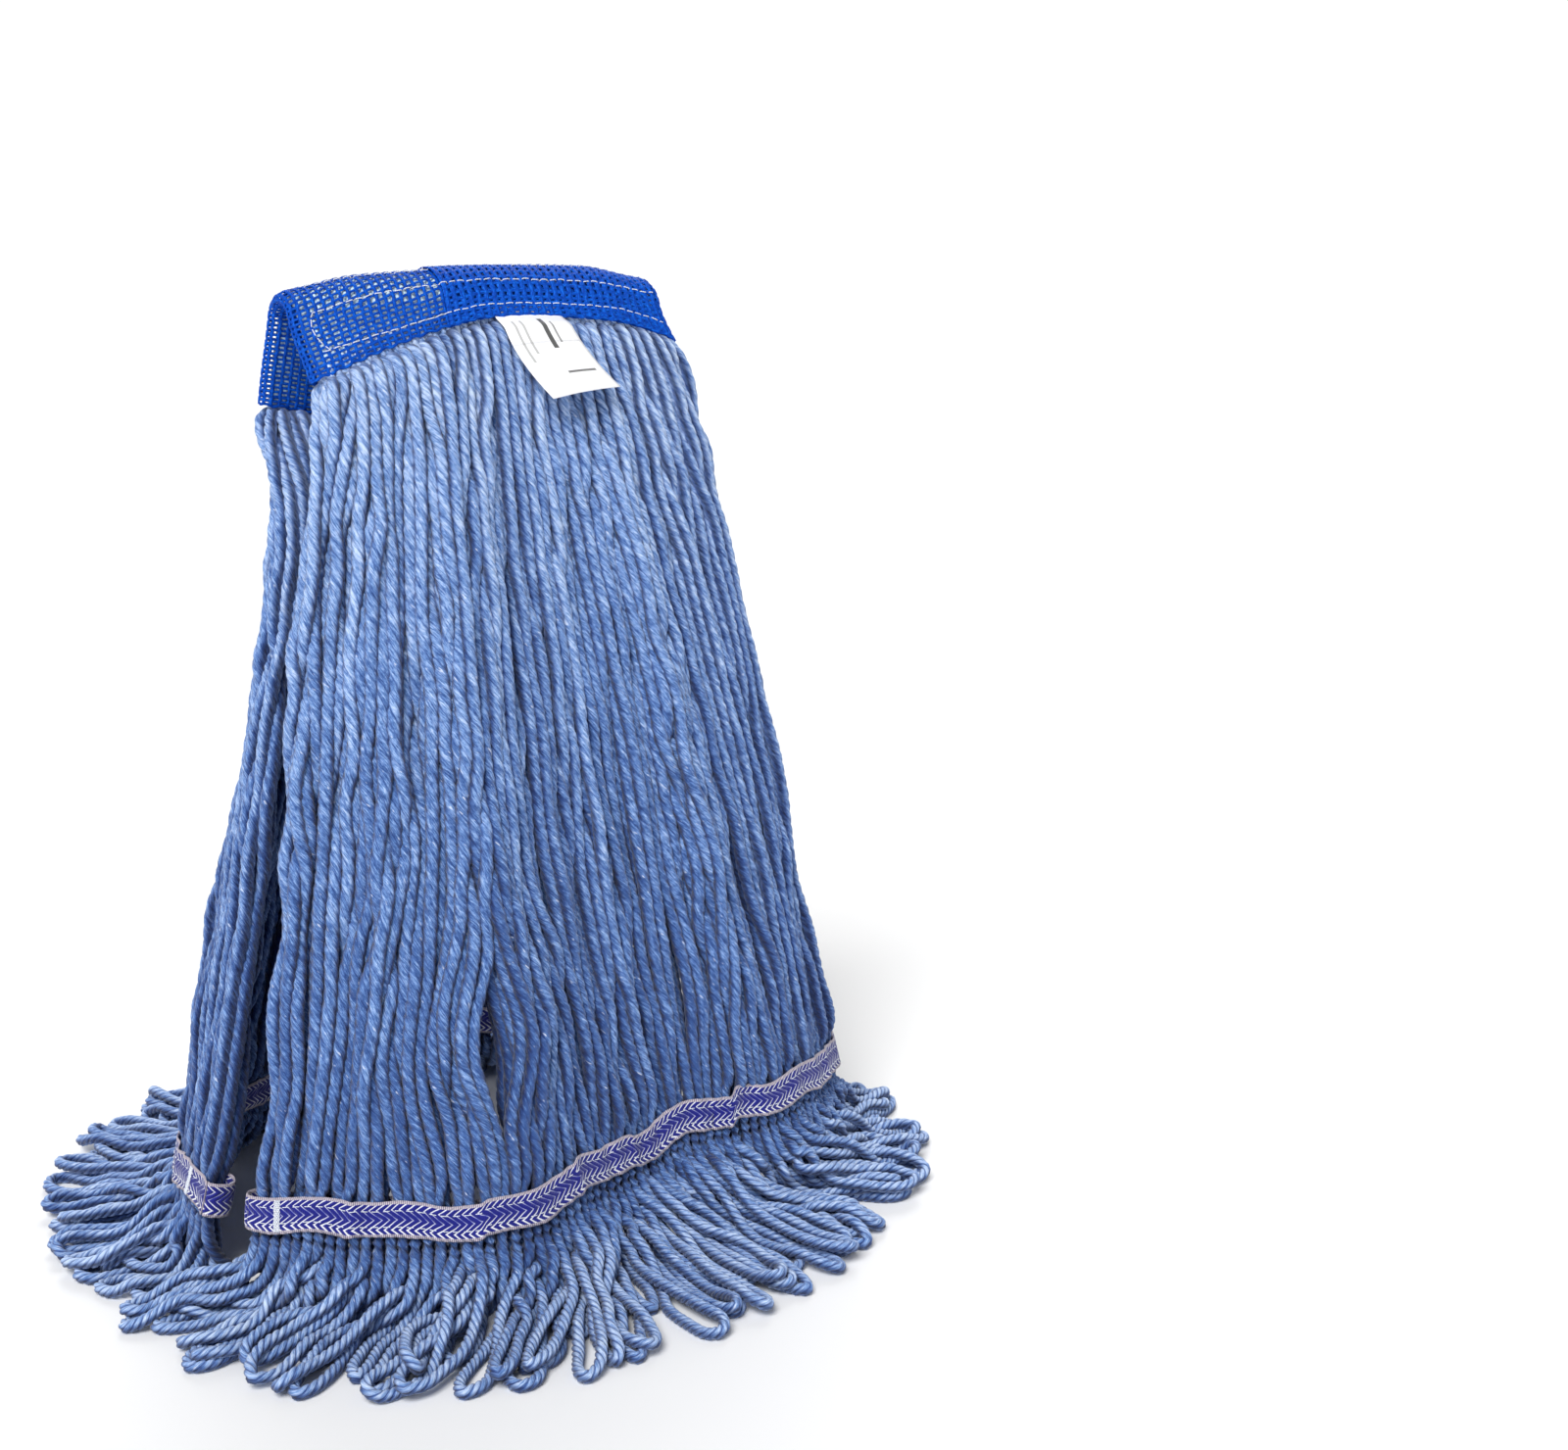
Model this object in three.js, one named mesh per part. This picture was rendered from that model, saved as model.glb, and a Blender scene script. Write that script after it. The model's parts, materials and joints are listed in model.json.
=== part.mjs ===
// Looped-end wet mop head, free standing: a mesh headband sewn over the yarn, two curtains of
// cotton yarn, a woven tail tape across each curtain and a fringe of loops splayed on the floor.
// Millimetres, +Z up, +X along the headband, -Y towards the front, origin on the floor under the middle.

import * as THREE from 'three';

// ---- Driving dimensions ---------------------------------------------------------------------

const TOTAL_HEIGHT = 460;
const FIT_GAP = 0.3;               // clearance between neighbouring solids

const BAND_LENGTH = 195;           // headband, along X
const BAND_TAPE_WIDTH = 127;       // the 5 inch mesh tape, measured over the saddle
const BAND_TAPE_THICKNESS = 1.2;
const BAND_LAP_START = -20;        // X where the second, outer layer of the tape begins
const SADDLE_RADIUS = 12;          // radius of the middle of the yarn layer over the top
const SADDLE_TURN = THREE.MathUtils.degToRad(70);   // each leg turns this far down from the ridge
const BAND_FRONT_LENGTH = 34;      // ridge to the front edge, along the middle of the yarn layer

const YARN_LAYER = 12;             // thickness of the yarn inside the headband
const CURTAIN_LAYER = 13;          // thickness of a curtain below the headband
const CURTAIN_TOP_WIDTH = 186;
const HINGE_DROP = 7.6;            // from the headband's edge to the line that a curtain swings about
const BUNDLES_PER_SIDE = 8;
const CORE_BUNDLES = 4;
const BUNDLE_GAP = 1;

const TAIL_TAPE_WIDTH = 16;
const TAIL_TAPE_THICKNESS = 1;
const TAIL_TAPE_LENGTH = 366;
const TAIL_TAPE_CLEARANCE = 0.9;
const TAIL_TAPE_Z = 46;
// Plan arcs in degrees: the front curtain faces -Y, and the rear one is led round the left side.
const TAIL_ARC = {
  front: { x: 170, y: 90, back: 39, middle: 0, turn: 75 },
  rear: { x: 169, y: 128, back: -26, middle: -26, turn: 74 },
};

const FRINGE_TIP_THICKNESS = 6.5;
const FRINGE_TIP_PRESS = 1;        // how far the tips are flattened on the floor
const FRINGE_LEAD = 34;            // length that a fringe keeps its curtain's direction for
const FRINGE_COVER = 0.88;         // share of the fringe's arc that yarn fills at the tips
const FLOOR_ARC = {
  front: { x: 222, y: 196, back: 25, middle: 0, turn: 88 },
  rear: { x: 222, y: 196, back: 25, middle: -21, turn: 76 },
};

const THREAD_WIDTH = 1.6;
const THREAD_HEIGHT = 0.8;
const THREAD_END_INSET = 10;       // from the headband's end to the end of a stitch row
const STITCH_INSET = 7;            // from a stitch row to the headband's edge
const STITCH_BOX_TOP = 15;         // from the ridge to the upper row of a box of stitching
const RIDGE_ROW = 7;               // from the ridge to the row of stitching beside it

const LABEL = { width: 35, length: 44, thickness: 0.8, left: 4, drop: 3, clear: 1.2 };

// ---- Derived dimensions ---------------------------------------------------------------------

const INNER_LAYER = YARN_LAYER / 2 + FIT_GAP + BAND_TAPE_THICKNESS / 2;
const OUTER_LAYER = INNER_LAYER + BAND_TAPE_THICKNESS + FIT_GAP;
const OUTER_FACE = OUTER_LAYER + BAND_TAPE_THICKNESS / 2;
const BAND_MID_LENGTH = BAND_TAPE_WIDTH - 2 * OUTER_FACE * SADDLE_TURN;
const BAND_REAR_LENGTH = BAND_MID_LENGTH - BAND_FRONT_LENGTH;
const SADDLE_CENTRE_Z = TOTAL_HEIGHT - SADDLE_RADIUS - OUTER_FACE;
const ARC_LENGTH = SADDLE_RADIUS * SADDLE_TURN;

// ---- Materials ------------------------------------------------------------------------------

const material = (color, roughness) => new THREE.MeshStandardMaterial({ color, roughness, metalness: 0 });
const YARN = material(0x6f9ad8, 0.95);
const BAND = material(0x1f4fc4, 0.8);
const TAIL = material(0x27379a, 0.85);
const THREAD = material(0xf2f2f4, 0.7);
const TAG = material(0xf4f4f6, 0.8);

// ---- Helpers --------------------------------------------------------------------------------

function signedVolume(geometry) {
  const position = geometry.getAttribute('position');
  const corners = [new THREE.Vector3(), new THREE.Vector3(), new THREE.Vector3()];
  let volume = 0;
  for (let i = 0; i < position.count; i += 3) {
    corners.forEach((corner, k) => corner.fromBufferAttribute(position, i + k));
    volume += corners[0].dot(corners[1].clone().cross(corners[2])) / 6;
  }
  return volume;
}

function turnFacesOut(geometry) {
  if (signedVolume(geometry) > 0) {
    return;
  }
  const position = geometry.getAttribute('position');
  const first = new THREE.Vector3();
  const second = new THREE.Vector3();
  for (let i = 0; i < position.count; i += 3) {
    first.fromBufferAttribute(position, i);
    second.fromBufferAttribute(position, i + 1);
    position.setXYZ(i, second.x, second.y, second.z);
    position.setXYZ(i + 1, first.x, first.y, first.z);
  }
}

// Extrudes a flat outline and carries each of its points to its place with place(x, y, step).
function carriedExtrusion(outline, steps, place) {
  const geometry = new THREE.ExtrudeGeometry(outline, { depth: steps, steps, bevelEnabled: false });
  const position = geometry.getAttribute('position');
  for (let i = 0; i < position.count; i += 1) {
    const point = place(position.getX(i), position.getY(i), position.getZ(i));
    position.setXYZ(i, point.x, point.y, point.z);
  }
  turnFacesOut(geometry);
  geometry.deleteAttribute('uv');
  geometry.computeVertexNormals();
  return geometry;
}

function named(name, geometry, finish) {
  const mesh = new THREE.Mesh(geometry, finish);
  mesh.name = name;
  return mesh;
}

// ---- Headband -------------------------------------------------------------------------------

// A point of the saddle: along is measured from the ridge, positive to the front, and out from the
// middle of the yarn layer.
function saddlePoint(x, along, out) {
  const side = Math.sign(along) || 1;
  const length = Math.abs(along);
  const turn = Math.min(length / SADDLE_RADIUS, SADDLE_TURN);
  const leg = Math.max(length - ARC_LENGTH, 0);
  const radius = SADDLE_RADIUS + out;
  const y = Math.sin(turn) * radius + Math.cos(turn) * leg;
  const z = SADDLE_CENTRE_Z + Math.cos(turn) * radius - Math.sin(turn) * leg;
  return new THREE.Vector3(x, -side * y, z);
}

// Places along the saddle that split its arc and its legs evenly, from the rear edge to the front.
function saddleStops(rear, front) {
  const stops = [-rear, -(rear + ARC_LENGTH) / 2];
  const arcSteps = 10;
  for (let i = 0; i <= arcSteps; i += 1) {
    stops.push(ARC_LENGTH * (2 * i / arcSteps - 1));
  }
  stops.push((front + ARC_LENGTH) / 2, front);
  return stops;
}

// The tape's section across the headband: one and a half flat turns round the yarn.
function bandSection() {
  const half = BAND_LENGTH / 2;
  const rightRadius = (OUTER_LAYER + INNER_LAYER) / 2;
  const rightMiddle = (OUTER_LAYER - INNER_LAYER) / 2;
  const rightX = half - rightRadius - BAND_TAPE_THICKNESS / 2;
  const leftX = -half + INNER_LAYER + BAND_TAPE_THICKNESS / 2;
  const bends = 8;
  const line = [[BAND_LAP_START, OUTER_LAYER, 0, 1]];
  for (let i = 0; i <= bends; i += 1) {
    const turn = Math.PI * (0.5 - i / bends);
    line.push([rightX + rightRadius * Math.cos(turn), rightMiddle + rightRadius * Math.sin(turn),
      Math.cos(turn), Math.sin(turn)]);
  }
  for (let i = 0; i <= bends; i += 1) {
    const turn = -Math.PI * (0.5 + i / bends);
    line.push([leftX + INNER_LAYER * Math.cos(turn), INNER_LAYER * Math.sin(turn),
      Math.cos(turn), Math.sin(turn)]);
  }
  line.push([rightX, INNER_LAYER, 0, 1]);
  const offset = (sign) => line.map(([x, y, nx, ny]) => new THREE.Vector2(
    x + sign * nx * BAND_TAPE_THICKNESS / 2,
    y + sign * ny * BAND_TAPE_THICKNESS / 2,
  ));
  return new THREE.Shape([...offset(1), ...offset(-1).reverse()]);
}

function headbandTape() {
  const stops = saddleStops(BAND_REAR_LENGTH, BAND_FRONT_LENGTH);
  const place = (x, out, step) => saddlePoint(x, stops[Math.round(step)], out);
  return named('headband_tape', carriedExtrusion(bandSection(), stops.length - 1, place), BAND);
}

// A bundle's section, one unit wide and one thick, with its corners taken off.
function bundleSection() {
  const flat = 0.36;
  const rim = 0.22;
  return new THREE.Shape([
    [-flat, -0.5], [0, -0.5], [flat, -0.5], [0.5, -rim], [0.5, rim],
    [flat, 0.5], [0, 0.5], [-flat, 0.5], [-0.5, rim], [-0.5, -rim],
  ].map(([x, y]) => new THREE.Vector2(x, y)));
}

function coreYarn() {
  const endInset = 1.5;
  const sideInset = INNER_LAYER + BAND_TAPE_THICKNESS;
  const pitch = (BAND_LENGTH - 2 * sideInset) / CORE_BUNDLES;
  const stops = saddleStops(BAND_REAR_LENGTH - endInset, BAND_FRONT_LENGTH - endInset);
  return Array.from({ length: CORE_BUNDLES }, (_, i) => {
    const middle = (i + 0.5 - CORE_BUNDLES / 2) * pitch;
    const place = (x, out, step) => saddlePoint(
      middle + x * (pitch - BUNDLE_GAP), stops[Math.round(step)], out * YARN_LAYER);
    return named(`core_yarn_${i + 1}`, carriedExtrusion(bundleSection(), stops.length - 1, place), YARN);
  });
}

// The face that a row of thread lies on steps up where the tape is double.
function threadRise(x) {
  const single = INNER_LAYER + BAND_TAPE_THICKNESS / 2;
  const onDouble = THREE.MathUtils.smoothstep(
    x, BAND_LAP_START - 2 * THREAD_HEIGHT, BAND_LAP_START - THREAD_HEIGHT / 2);
  return THREE.MathUtils.lerp(single, OUTER_FACE, onDouble) + FIT_GAP;
}

// How far to either side of a corner of a flat path its edge lies, for a ribbon one unit wide.
function mitre(path, index) {
  const here = new THREE.Vector2(...path[index]);
  const before = new THREE.Vector2(...path[Math.max(index - 1, 0)]);
  const after = new THREE.Vector2(...path[Math.min(index + 1, path.length - 1)]);
  const arriving = (index > 0 ? here.clone().sub(before) : after.clone().sub(here)).normalize();
  const leaving = (index < path.length - 1 ? after.sub(here) : here.sub(before)).normalize();
  const middle = arriving.add(leaving).normalize();
  return new THREE.Vector2(-middle.y, middle.x).divideScalar(middle.dot(leaving));
}

// A flat thread on the headband's face, along a path of X and distance from the ridge.
function threadOnBand(name, path, side) {
  const half = THREAD_WIDTH / 2;
  const section = new THREE.Shape([
    new THREE.Vector2(-half, 0), new THREE.Vector2(half, 0),
    new THREE.Vector2(half, THREAD_HEIGHT), new THREE.Vector2(-half, THREAD_HEIGHT),
  ]);
  const edges = path.map((_, i) => mitre(path, i));
  const place = (beside, height, step) => {
    const i = Math.round(step);
    const x = path[i][0] + beside * edges[i].x;
    const along = path[i][1] + beside * edges[i].y;
    return saddlePoint(x, side * along, threadRise(x) + height);
  };
  return named(name, carriedExtrusion(section, path.length - 1, place), THREAD);
}

// One row of stitching, with its step onto the double tape.
function stitchRow(along) {
  const end = BAND_LENGTH / 2 - THREAD_END_INSET;
  const rise = BAND_LAP_START - 2 * THREAD_HEIGHT;
  return [[-end, along], [rise, along], [BAND_LAP_START - THREAD_HEIGHT / 2, along], [end, along]];
}

// Two rows joined at their left ends, where the needle turned.
function boxStitch(name, side, edge) {
  const path = [...stitchRow(STITCH_BOX_TOP).reverse(), ...stitchRow(edge - STITCH_INSET)];
  return threadOnBand(name, path, side);
}

function headband() {
  const group = new THREE.Group();
  group.add(headbandTape(), ...coreYarn());
  group.add(boxStitch('front_box_stitch', 1, BAND_FRONT_LENGTH));
  group.add(boxStitch('rear_box_stitch', -1, BAND_REAR_LENGTH));
  group.add(threadOnBand('front_ridge_stitch', stitchRow(RIDGE_ROW), 1));
  group.add(threadOnBand('rear_ridge_stitch', stitchRow(RIDGE_ROW), -1));
  return group;
}

// ---- Curtains, tail tapes and fringes -------------------------------------------------------

const arcPoint = (arc, share, side, z) => {
  const turn = THREE.MathUtils.degToRad(arc.middle + arc.turn * share);
  return new THREE.Vector3(arc.x * Math.sin(turn), side * (arc.back + arc.y * Math.cos(turn)), z);
};

// One half of the mop: side is -1 at the front and 1 at the rear, and across runs from -1 to 1.
function halfShape(side) {
  const edge = side < 0 ? BAND_FRONT_LENGTH : BAND_REAR_LENGTH;
  const face = side < 0 ? 'front' : 'rear';
  const hinge = saddlePoint(0, -side * (edge + HINGE_DROP), 0);

  const top = (across) => new THREE.Vector3(across * CURTAIN_TOP_WIDTH / 2, hinge.y, hinge.z);
  const tail = (across) => arcPoint(
    TAIL_ARC[face], 0.82 * across + 0.18 * across ** 3, side, TAIL_TAPE_Z);
  const tip = (across) => arcPoint(
    FLOOR_ARC[face], across, side, FRINGE_TIP_THICKNESS / 2 - FRINGE_TIP_PRESS);
  const direction = (across) => tail(across).sub(top(across)).normalize();

  // A frame on the yarn sheet: its point, and the outward direction there.
  const curtain = (across, down) => top(across).addScaledVector(direction(across), down);
  const fringeStart = (TAIL_TAPE_WIDTH / 2) + 2 * FIT_GAP + BUNDLE_GAP;
  const fringe = (across, share) => {
    const start = tail(across).addScaledVector(direction(across), fringeStart);
    const lead = start.clone().addScaledVector(direction(across), FRINGE_LEAD);
    return new THREE.QuadraticBezierCurve3(start, lead, tip(across)).getPoint(share);
  };
  const outward = (sheet, across, down, step) => {
    const nudge = 0.01;
    const alongSheet = sheet(across + nudge, down).sub(sheet(across - nudge, down));
    const downSheet = sheet(across, down + step).sub(sheet(across, down - step));
    return alongSheet.cross(downSheet).normalize().multiplyScalar(-side);
  };
  return { hinge, top, tail, curtain, fringe, outward, direction };
}

// A bundle's width is given in across units, and gap is the space left beside it in millimetres.
function sheetBundle(half, sheet, index, stations, nudge) {
  const pitch = 2 / BUNDLES_PER_SIDE;
  const middle = -1 + (index + 0.5) * pitch;
  const place = (x, y, step) => {
    const { place: downAt, thickness, cover } = stations[Math.round(step)];
    const left = sheet(middle - pitch / 2, downAt(middle - pitch / 2));
    const right = sheet(middle + pitch / 2, downAt(middle + pitch / 2));
    const across = middle + x * pitch * (cover - BUNDLE_GAP / left.distanceTo(right));
    const down = downAt(across);
    const point = sheet(across, down);
    point.addScaledVector(half.outward(sheet, across, down, nudge), y * thickness);
    point.z = Math.max(point.z, 0);
    return point;
  };
  return carriedExtrusion(bundleSection(), stations.length - 1, place);
}

// The curtain's upper end is rounded about the line that it swings on.
function curtainStations(half) {
  const radius = CURTAIN_LAYER / 2;
  const roundSteps = 4;
  const stations = [];
  for (let i = 0; i < roundSteps; i += 1) {
    const turn = (Math.PI / 2) * (i + 0.4) / roundSteps;
    const rise = radius * Math.cos(turn);
    stations.push({ place: () => -rise, thickness: CURTAIN_LAYER * Math.sin(turn), cover: 1 });
  }
  const end = (across) => (
    half.tail(across).distanceTo(half.top(across)) + TAIL_TAPE_WIDTH / 2 + FIT_GAP);
  for (const share of [0, 0.25, 0.5, 0.75, 1]) {
    stations.push({ place: (across) => share * end(across), thickness: CURTAIN_LAYER, cover: 1 });
  }
  return stations;
}

function fringeStations() {
  const steps = 8;
  return Array.from({ length: steps + 1 }, (_, i) => ({
    place: () => i / steps,
    thickness: THREE.MathUtils.lerp(CURTAIN_LAYER, FRINGE_TIP_THICKNESS, i / steps),
    cover: THREE.MathUtils.lerp(1, FRINGE_COVER, i / steps),
  }));
}

// The tail tape is one strip of webbing led round the yarn, its two ends meeting at the left.
function tailTape(name, half) {
  const out = CURTAIN_LAYER / 2 + TAIL_TAPE_CLEARANCE + TAIL_TAPE_THICKNESS / 2;
  const end = TAIL_TAPE_LENGTH / 2;
  const wrap = out / 2;
  const steps = 24;
  const face = Array.from({ length: steps + 1 }, (_, i) => (2 * i / steps - 1) * end);
  const path = [
    ...face.map((x) => [x, out]),
    [end + wrap, out / 2], [end + wrap, -out / 2],
    ...face.map((x) => [-x, -out]),
    [-end - wrap, -out / 2], [-end - wrap, out / 2 - TAIL_TAPE_THICKNESS],
  ];
  const section = new THREE.Shape([
    new THREE.Vector2(-0.5, 0), new THREE.Vector2(0.5, 0), new THREE.Vector2(0.5, 1), new THREE.Vector2(-0.5, 1),
  ]);
  const edges = path.map((_, i) => mitre(path, i).multiplyScalar(TAIL_TAPE_THICKNESS));
  const place = (beside, down, step) => {
    const i = Math.round(step);
    return tapePoint(half, path[i][0] + beside * edges[i].x, path[i][1] + beside * edges[i].y, down);
  };
  return named(name, carriedExtrusion(section, path.length - 1, place), TAIL);
}

// x runs along the tape, out is measured from the middle of the yarn, and down from 0 to 1 across it.
function tapePoint(half, x, out, down) {
  const across = x / (TAIL_TAPE_LENGTH / 2);
  const point = half.tail(across);
  const sheet = (u, length) => half.tail(u).addScaledVector(half.direction(u), length);
  point.addScaledVector(half.outward(sheet, across, 0, 1), out);
  return point.addScaledVector(half.direction(across), (down - 0.5) * TAIL_TAPE_WIDTH);
}

// A bar of close stitches that closes the tail tape near its left end.
function bartack(name, half) {
  const inset = 14;
  const length = 13;
  const base = CURTAIN_LAYER / 2 + TAIL_TAPE_CLEARANCE + TAIL_TAPE_THICKNESS + FIT_GAP;
  const middle = -TAIL_TAPE_LENGTH / 2 + inset;
  const bar = new THREE.Shape([
    new THREE.Vector2(middle - THREAD_WIDTH, base), new THREE.Vector2(middle + THREAD_WIDTH, base),
    new THREE.Vector2(middle + THREAD_WIDTH, base + THREAD_HEIGHT),
    new THREE.Vector2(middle - THREAD_WIDTH, base + THREAD_HEIGHT),
  ]);
  const place = (x, out, step) => tapePoint(half, x, out, 0.5).addScaledVector(
    half.direction(x / (TAIL_TAPE_LENGTH / 2)), (Math.round(step) - 0.5) * length);
  return named(name, carriedExtrusion(bar, 1, place), THREAD);
}

function yarnHalf(label, side) {
  const half = halfShape(side);
  const group = new THREE.Group();
  for (let i = 0; i < BUNDLES_PER_SIDE; i += 1) {
    const hanging = sheetBundle(half, half.curtain, i, curtainStations(half), 1);
    const splayed = sheetBundle(half, half.fringe, i, fringeStations(), 0.01);
    group.add(named(`${label}_yarn_${i + 1}`, hanging, YARN));
    group.add(named(`${label}_fringe_${i + 1}`, splayed, YARN));
  }
  group.add(tailTape(`${label}_tail_tape`, half), bartack(`${label}_bartack`, half));
  return group;
}

// ---- Label ----------------------------------------------------------------------------------

// The label lies against the front curtain, hung from the headband's edge.
function tagLabel() {
  const half = halfShape(-1);
  const middle = LABEL.left + LABEL.width / 2;
  const across = middle / (CURTAIN_TOP_WIDTH / 2);
  const down = half.direction(across);
  down.x = 0;
  down.normalize();
  const out = new THREE.Vector3(0, down.z, -down.y);
  const corner = half.top(across).addScaledVector(out, CURTAIN_LAYER / 2 + LABEL.clear);
  const outline = new THREE.Shape([
    new THREE.Vector2(LABEL.left, 0), new THREE.Vector2(LABEL.left + LABEL.width, 0),
    new THREE.Vector2(LABEL.left + LABEL.width, LABEL.length), new THREE.Vector2(LABEL.left, LABEL.length),
  ]);
  const place = (x, length, step) => new THREE.Vector3(x, corner.y, corner.z)
    .addScaledVector(down, LABEL.drop + length)
    .addScaledVector(out, Math.round(step) * LABEL.thickness);
  return named('label', carriedExtrusion(outline, 1, place), TAG);
}

// ---- The mop --------------------------------------------------------------------------------

const mop = new THREE.Group();
mop.add(headband(), yarnHalf('front', -1), yarnHalf('rear', 1), tagLabel());

export default mop;
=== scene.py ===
"""Looped-end wet mop head standing on a floor: blue twisted yarn in two curtains under a folded
mesh headband, a herringbone tail tape across each curtain and a fringe of loops on the floor.
Metres, +Z up, +X along the headband, -Y to the front."""
import json
import math

import bpy
import numpy as np
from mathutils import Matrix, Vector


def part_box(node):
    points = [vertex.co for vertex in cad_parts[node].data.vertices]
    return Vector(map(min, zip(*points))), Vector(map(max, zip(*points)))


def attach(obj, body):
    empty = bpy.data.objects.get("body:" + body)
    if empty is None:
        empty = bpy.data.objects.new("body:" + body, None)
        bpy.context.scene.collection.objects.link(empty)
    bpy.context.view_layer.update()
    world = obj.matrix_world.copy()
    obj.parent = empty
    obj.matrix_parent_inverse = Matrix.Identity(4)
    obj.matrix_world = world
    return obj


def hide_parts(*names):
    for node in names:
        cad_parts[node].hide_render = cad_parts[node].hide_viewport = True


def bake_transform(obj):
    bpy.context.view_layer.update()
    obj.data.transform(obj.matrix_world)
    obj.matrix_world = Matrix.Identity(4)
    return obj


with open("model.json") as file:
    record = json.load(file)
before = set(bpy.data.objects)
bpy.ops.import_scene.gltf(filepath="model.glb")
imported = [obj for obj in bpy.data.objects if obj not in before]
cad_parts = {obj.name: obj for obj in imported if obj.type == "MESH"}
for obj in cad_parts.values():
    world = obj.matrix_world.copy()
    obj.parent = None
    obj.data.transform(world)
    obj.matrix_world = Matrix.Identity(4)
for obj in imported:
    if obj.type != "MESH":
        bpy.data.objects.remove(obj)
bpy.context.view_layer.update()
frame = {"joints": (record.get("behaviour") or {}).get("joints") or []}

MM = 0.001
RNG = np.random.default_rng(417)

# ---- Sizes from the frame ----

TOP_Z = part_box("headband_tape")[1][2]
HINGES = {joint["child"]: np.array(joint["pos_m"]) for joint in frame["joints"]}

# ---- Driving sizes ----

BAND_LENGTH = 195 * MM
HALF_BAND = BAND_LENGTH / 2
YARN_HALF = HALF_BAND - 6.5 * MM  # the yarn inside the band ends this far from the band's middle
SADDLE_RADIUS = 12 * MM  # middle of the yarn layer over the ridge
SADDLE_TURN = math.radians(70)  # each leg turns this far down from the ridge
BAND_OUTER_FACE = 9 * MM  # from the middle of the yarn layer to the band's outer face
BAND_WIDTH = 127 * MM  # the mesh tape, measured over the saddle
BAND_MID_WIDTH = BAND_WIDTH - 2 * BAND_OUTER_FACE * SADDLE_TURN
SADDLE_Z = TOP_Z - SADDLE_RADIUS - BAND_OUTER_FACE
ARC = SADDLE_RADIUS * SADDLE_TURN
BAND_LAP_START = -24 * MM  # X where the tape's outer lap begins
OUTER_LAYER, INNER_LAYER = 8.4 * MM, 6.9 * MM  # from the middle of the yarn to the tape's laps
END_CLOSES = 0.48  # share of the band's thickness that goes at its two ends

YARN_RADIUS = 3.1 * MM
LOOPS = 72  # loops of yarn in each curtain, two strands to a loop
BUNDLES = 8  # pieces that the loops of one curtain are kept in
SHEET_HALF = 2.9 * MM  # from the middle of a curtain to each of its two layers of yarn
PLIES = 4
SIDES = 16  # points round a strand, four to a ply, from its crest to the groove and back
SHALLOW_PLY = np.tile([1.0, 0.955, 0.81, 0.955], PLIES)
DEEP_PLY = np.tile([1.0, 0.94, 0.74, 0.94], PLIES)
TWIST_AT_BAND = 23 * MM  # length of one turn of the plies
TWIST_AT_MIDDLE = 26 * MM
TWIST_IN_FRINGE = 16 * MM

TAIL_TAPE_WIDTH = 16 * MM
TAIL_TAPE_OUT = 6.9 * MM  # from the middle of the yarn to the tape's middle
FRONT, REAR = -1.0, 1.0
# Arcs in plan that the tail tapes and the fringe's ends follow, in mm and degrees.
TAIL_ARC = {FRONT: dict(x=168, y=88, back=38, middle=0, turn=75),
            REAR: dict(x=166, y=127, back=-28, middle=-27, turn=74)}
FLOOR_ARC = {FRONT: dict(x=222, y=194, back=25, middle=0, turn=88),
             REAR: dict(x=220, y=192, back=25, middle=-24, turn=80)}
SIDE_NAMES = {FRONT: "front", REAR: "rear"}


def smooth(x):
    """0 below 0, 1 above 1 and an easy curve between."""
    x = np.clip(x, 0.0, 1.0)
    return x * x * (3 - 2 * x)


def unit(v):
    return v / np.maximum(np.linalg.norm(v, axis=-1, keepdims=True), 1e-12)


# ---- The shape the yarn follows ----

def evenly(count):
    """Middles of count even parts of the range from -1 to 1."""
    return (np.arange(count) + 0.5) / count * 2 - 1


def eased(across, points, values):
    """A curve through a few values, with rounded corners."""
    step = 0.09
    offsets = np.linspace(-2, 2, 9)
    weight = np.exp(-offsets ** 2)
    total = sum(w * np.interp(across + step * o, points, values) for o, w in zip(offsets, weight))
    return total / weight.sum()


# Each of these curves is a list of places across, from -1 to 1, and a list of values in mm.
FRONT_EDGE = ([-1.0, -0.76, -0.5, -0.27, -0.05, 0.2, 0.45, 0.7, 0.93, 1.06],
              [45, 39, 33, 28, 24, 24, 25, 26.5, 31, 38])


def front_edge(x):
    """Distance from the ridge to the band's front edge: the flap's ends hang lower than its middle."""
    return eased(x / HALF_BAND, *FRONT_EDGE) * MM


def rear_edge(x):
    """The same at the rear, where the flap hangs a little lower at its left end."""
    return BAND_MID_WIDTH - front_edge(x) - 4 * MM * smooth(-x / HALF_BAND)


def band_edge(x, side):
    return front_edge(x) if side == FRONT else rear_edge(x)


def ridge_drop(x):
    """The folded band sags a little towards its ends."""
    across = x / HALF_BAND
    return (4.4 * across ** 2 - 1.4 * across - 1.6) * MM


def end_thinning(x):
    """How much the folded band closes up towards its two ends."""
    return smooth((np.abs(x) / MM - 58) / 36)


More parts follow.
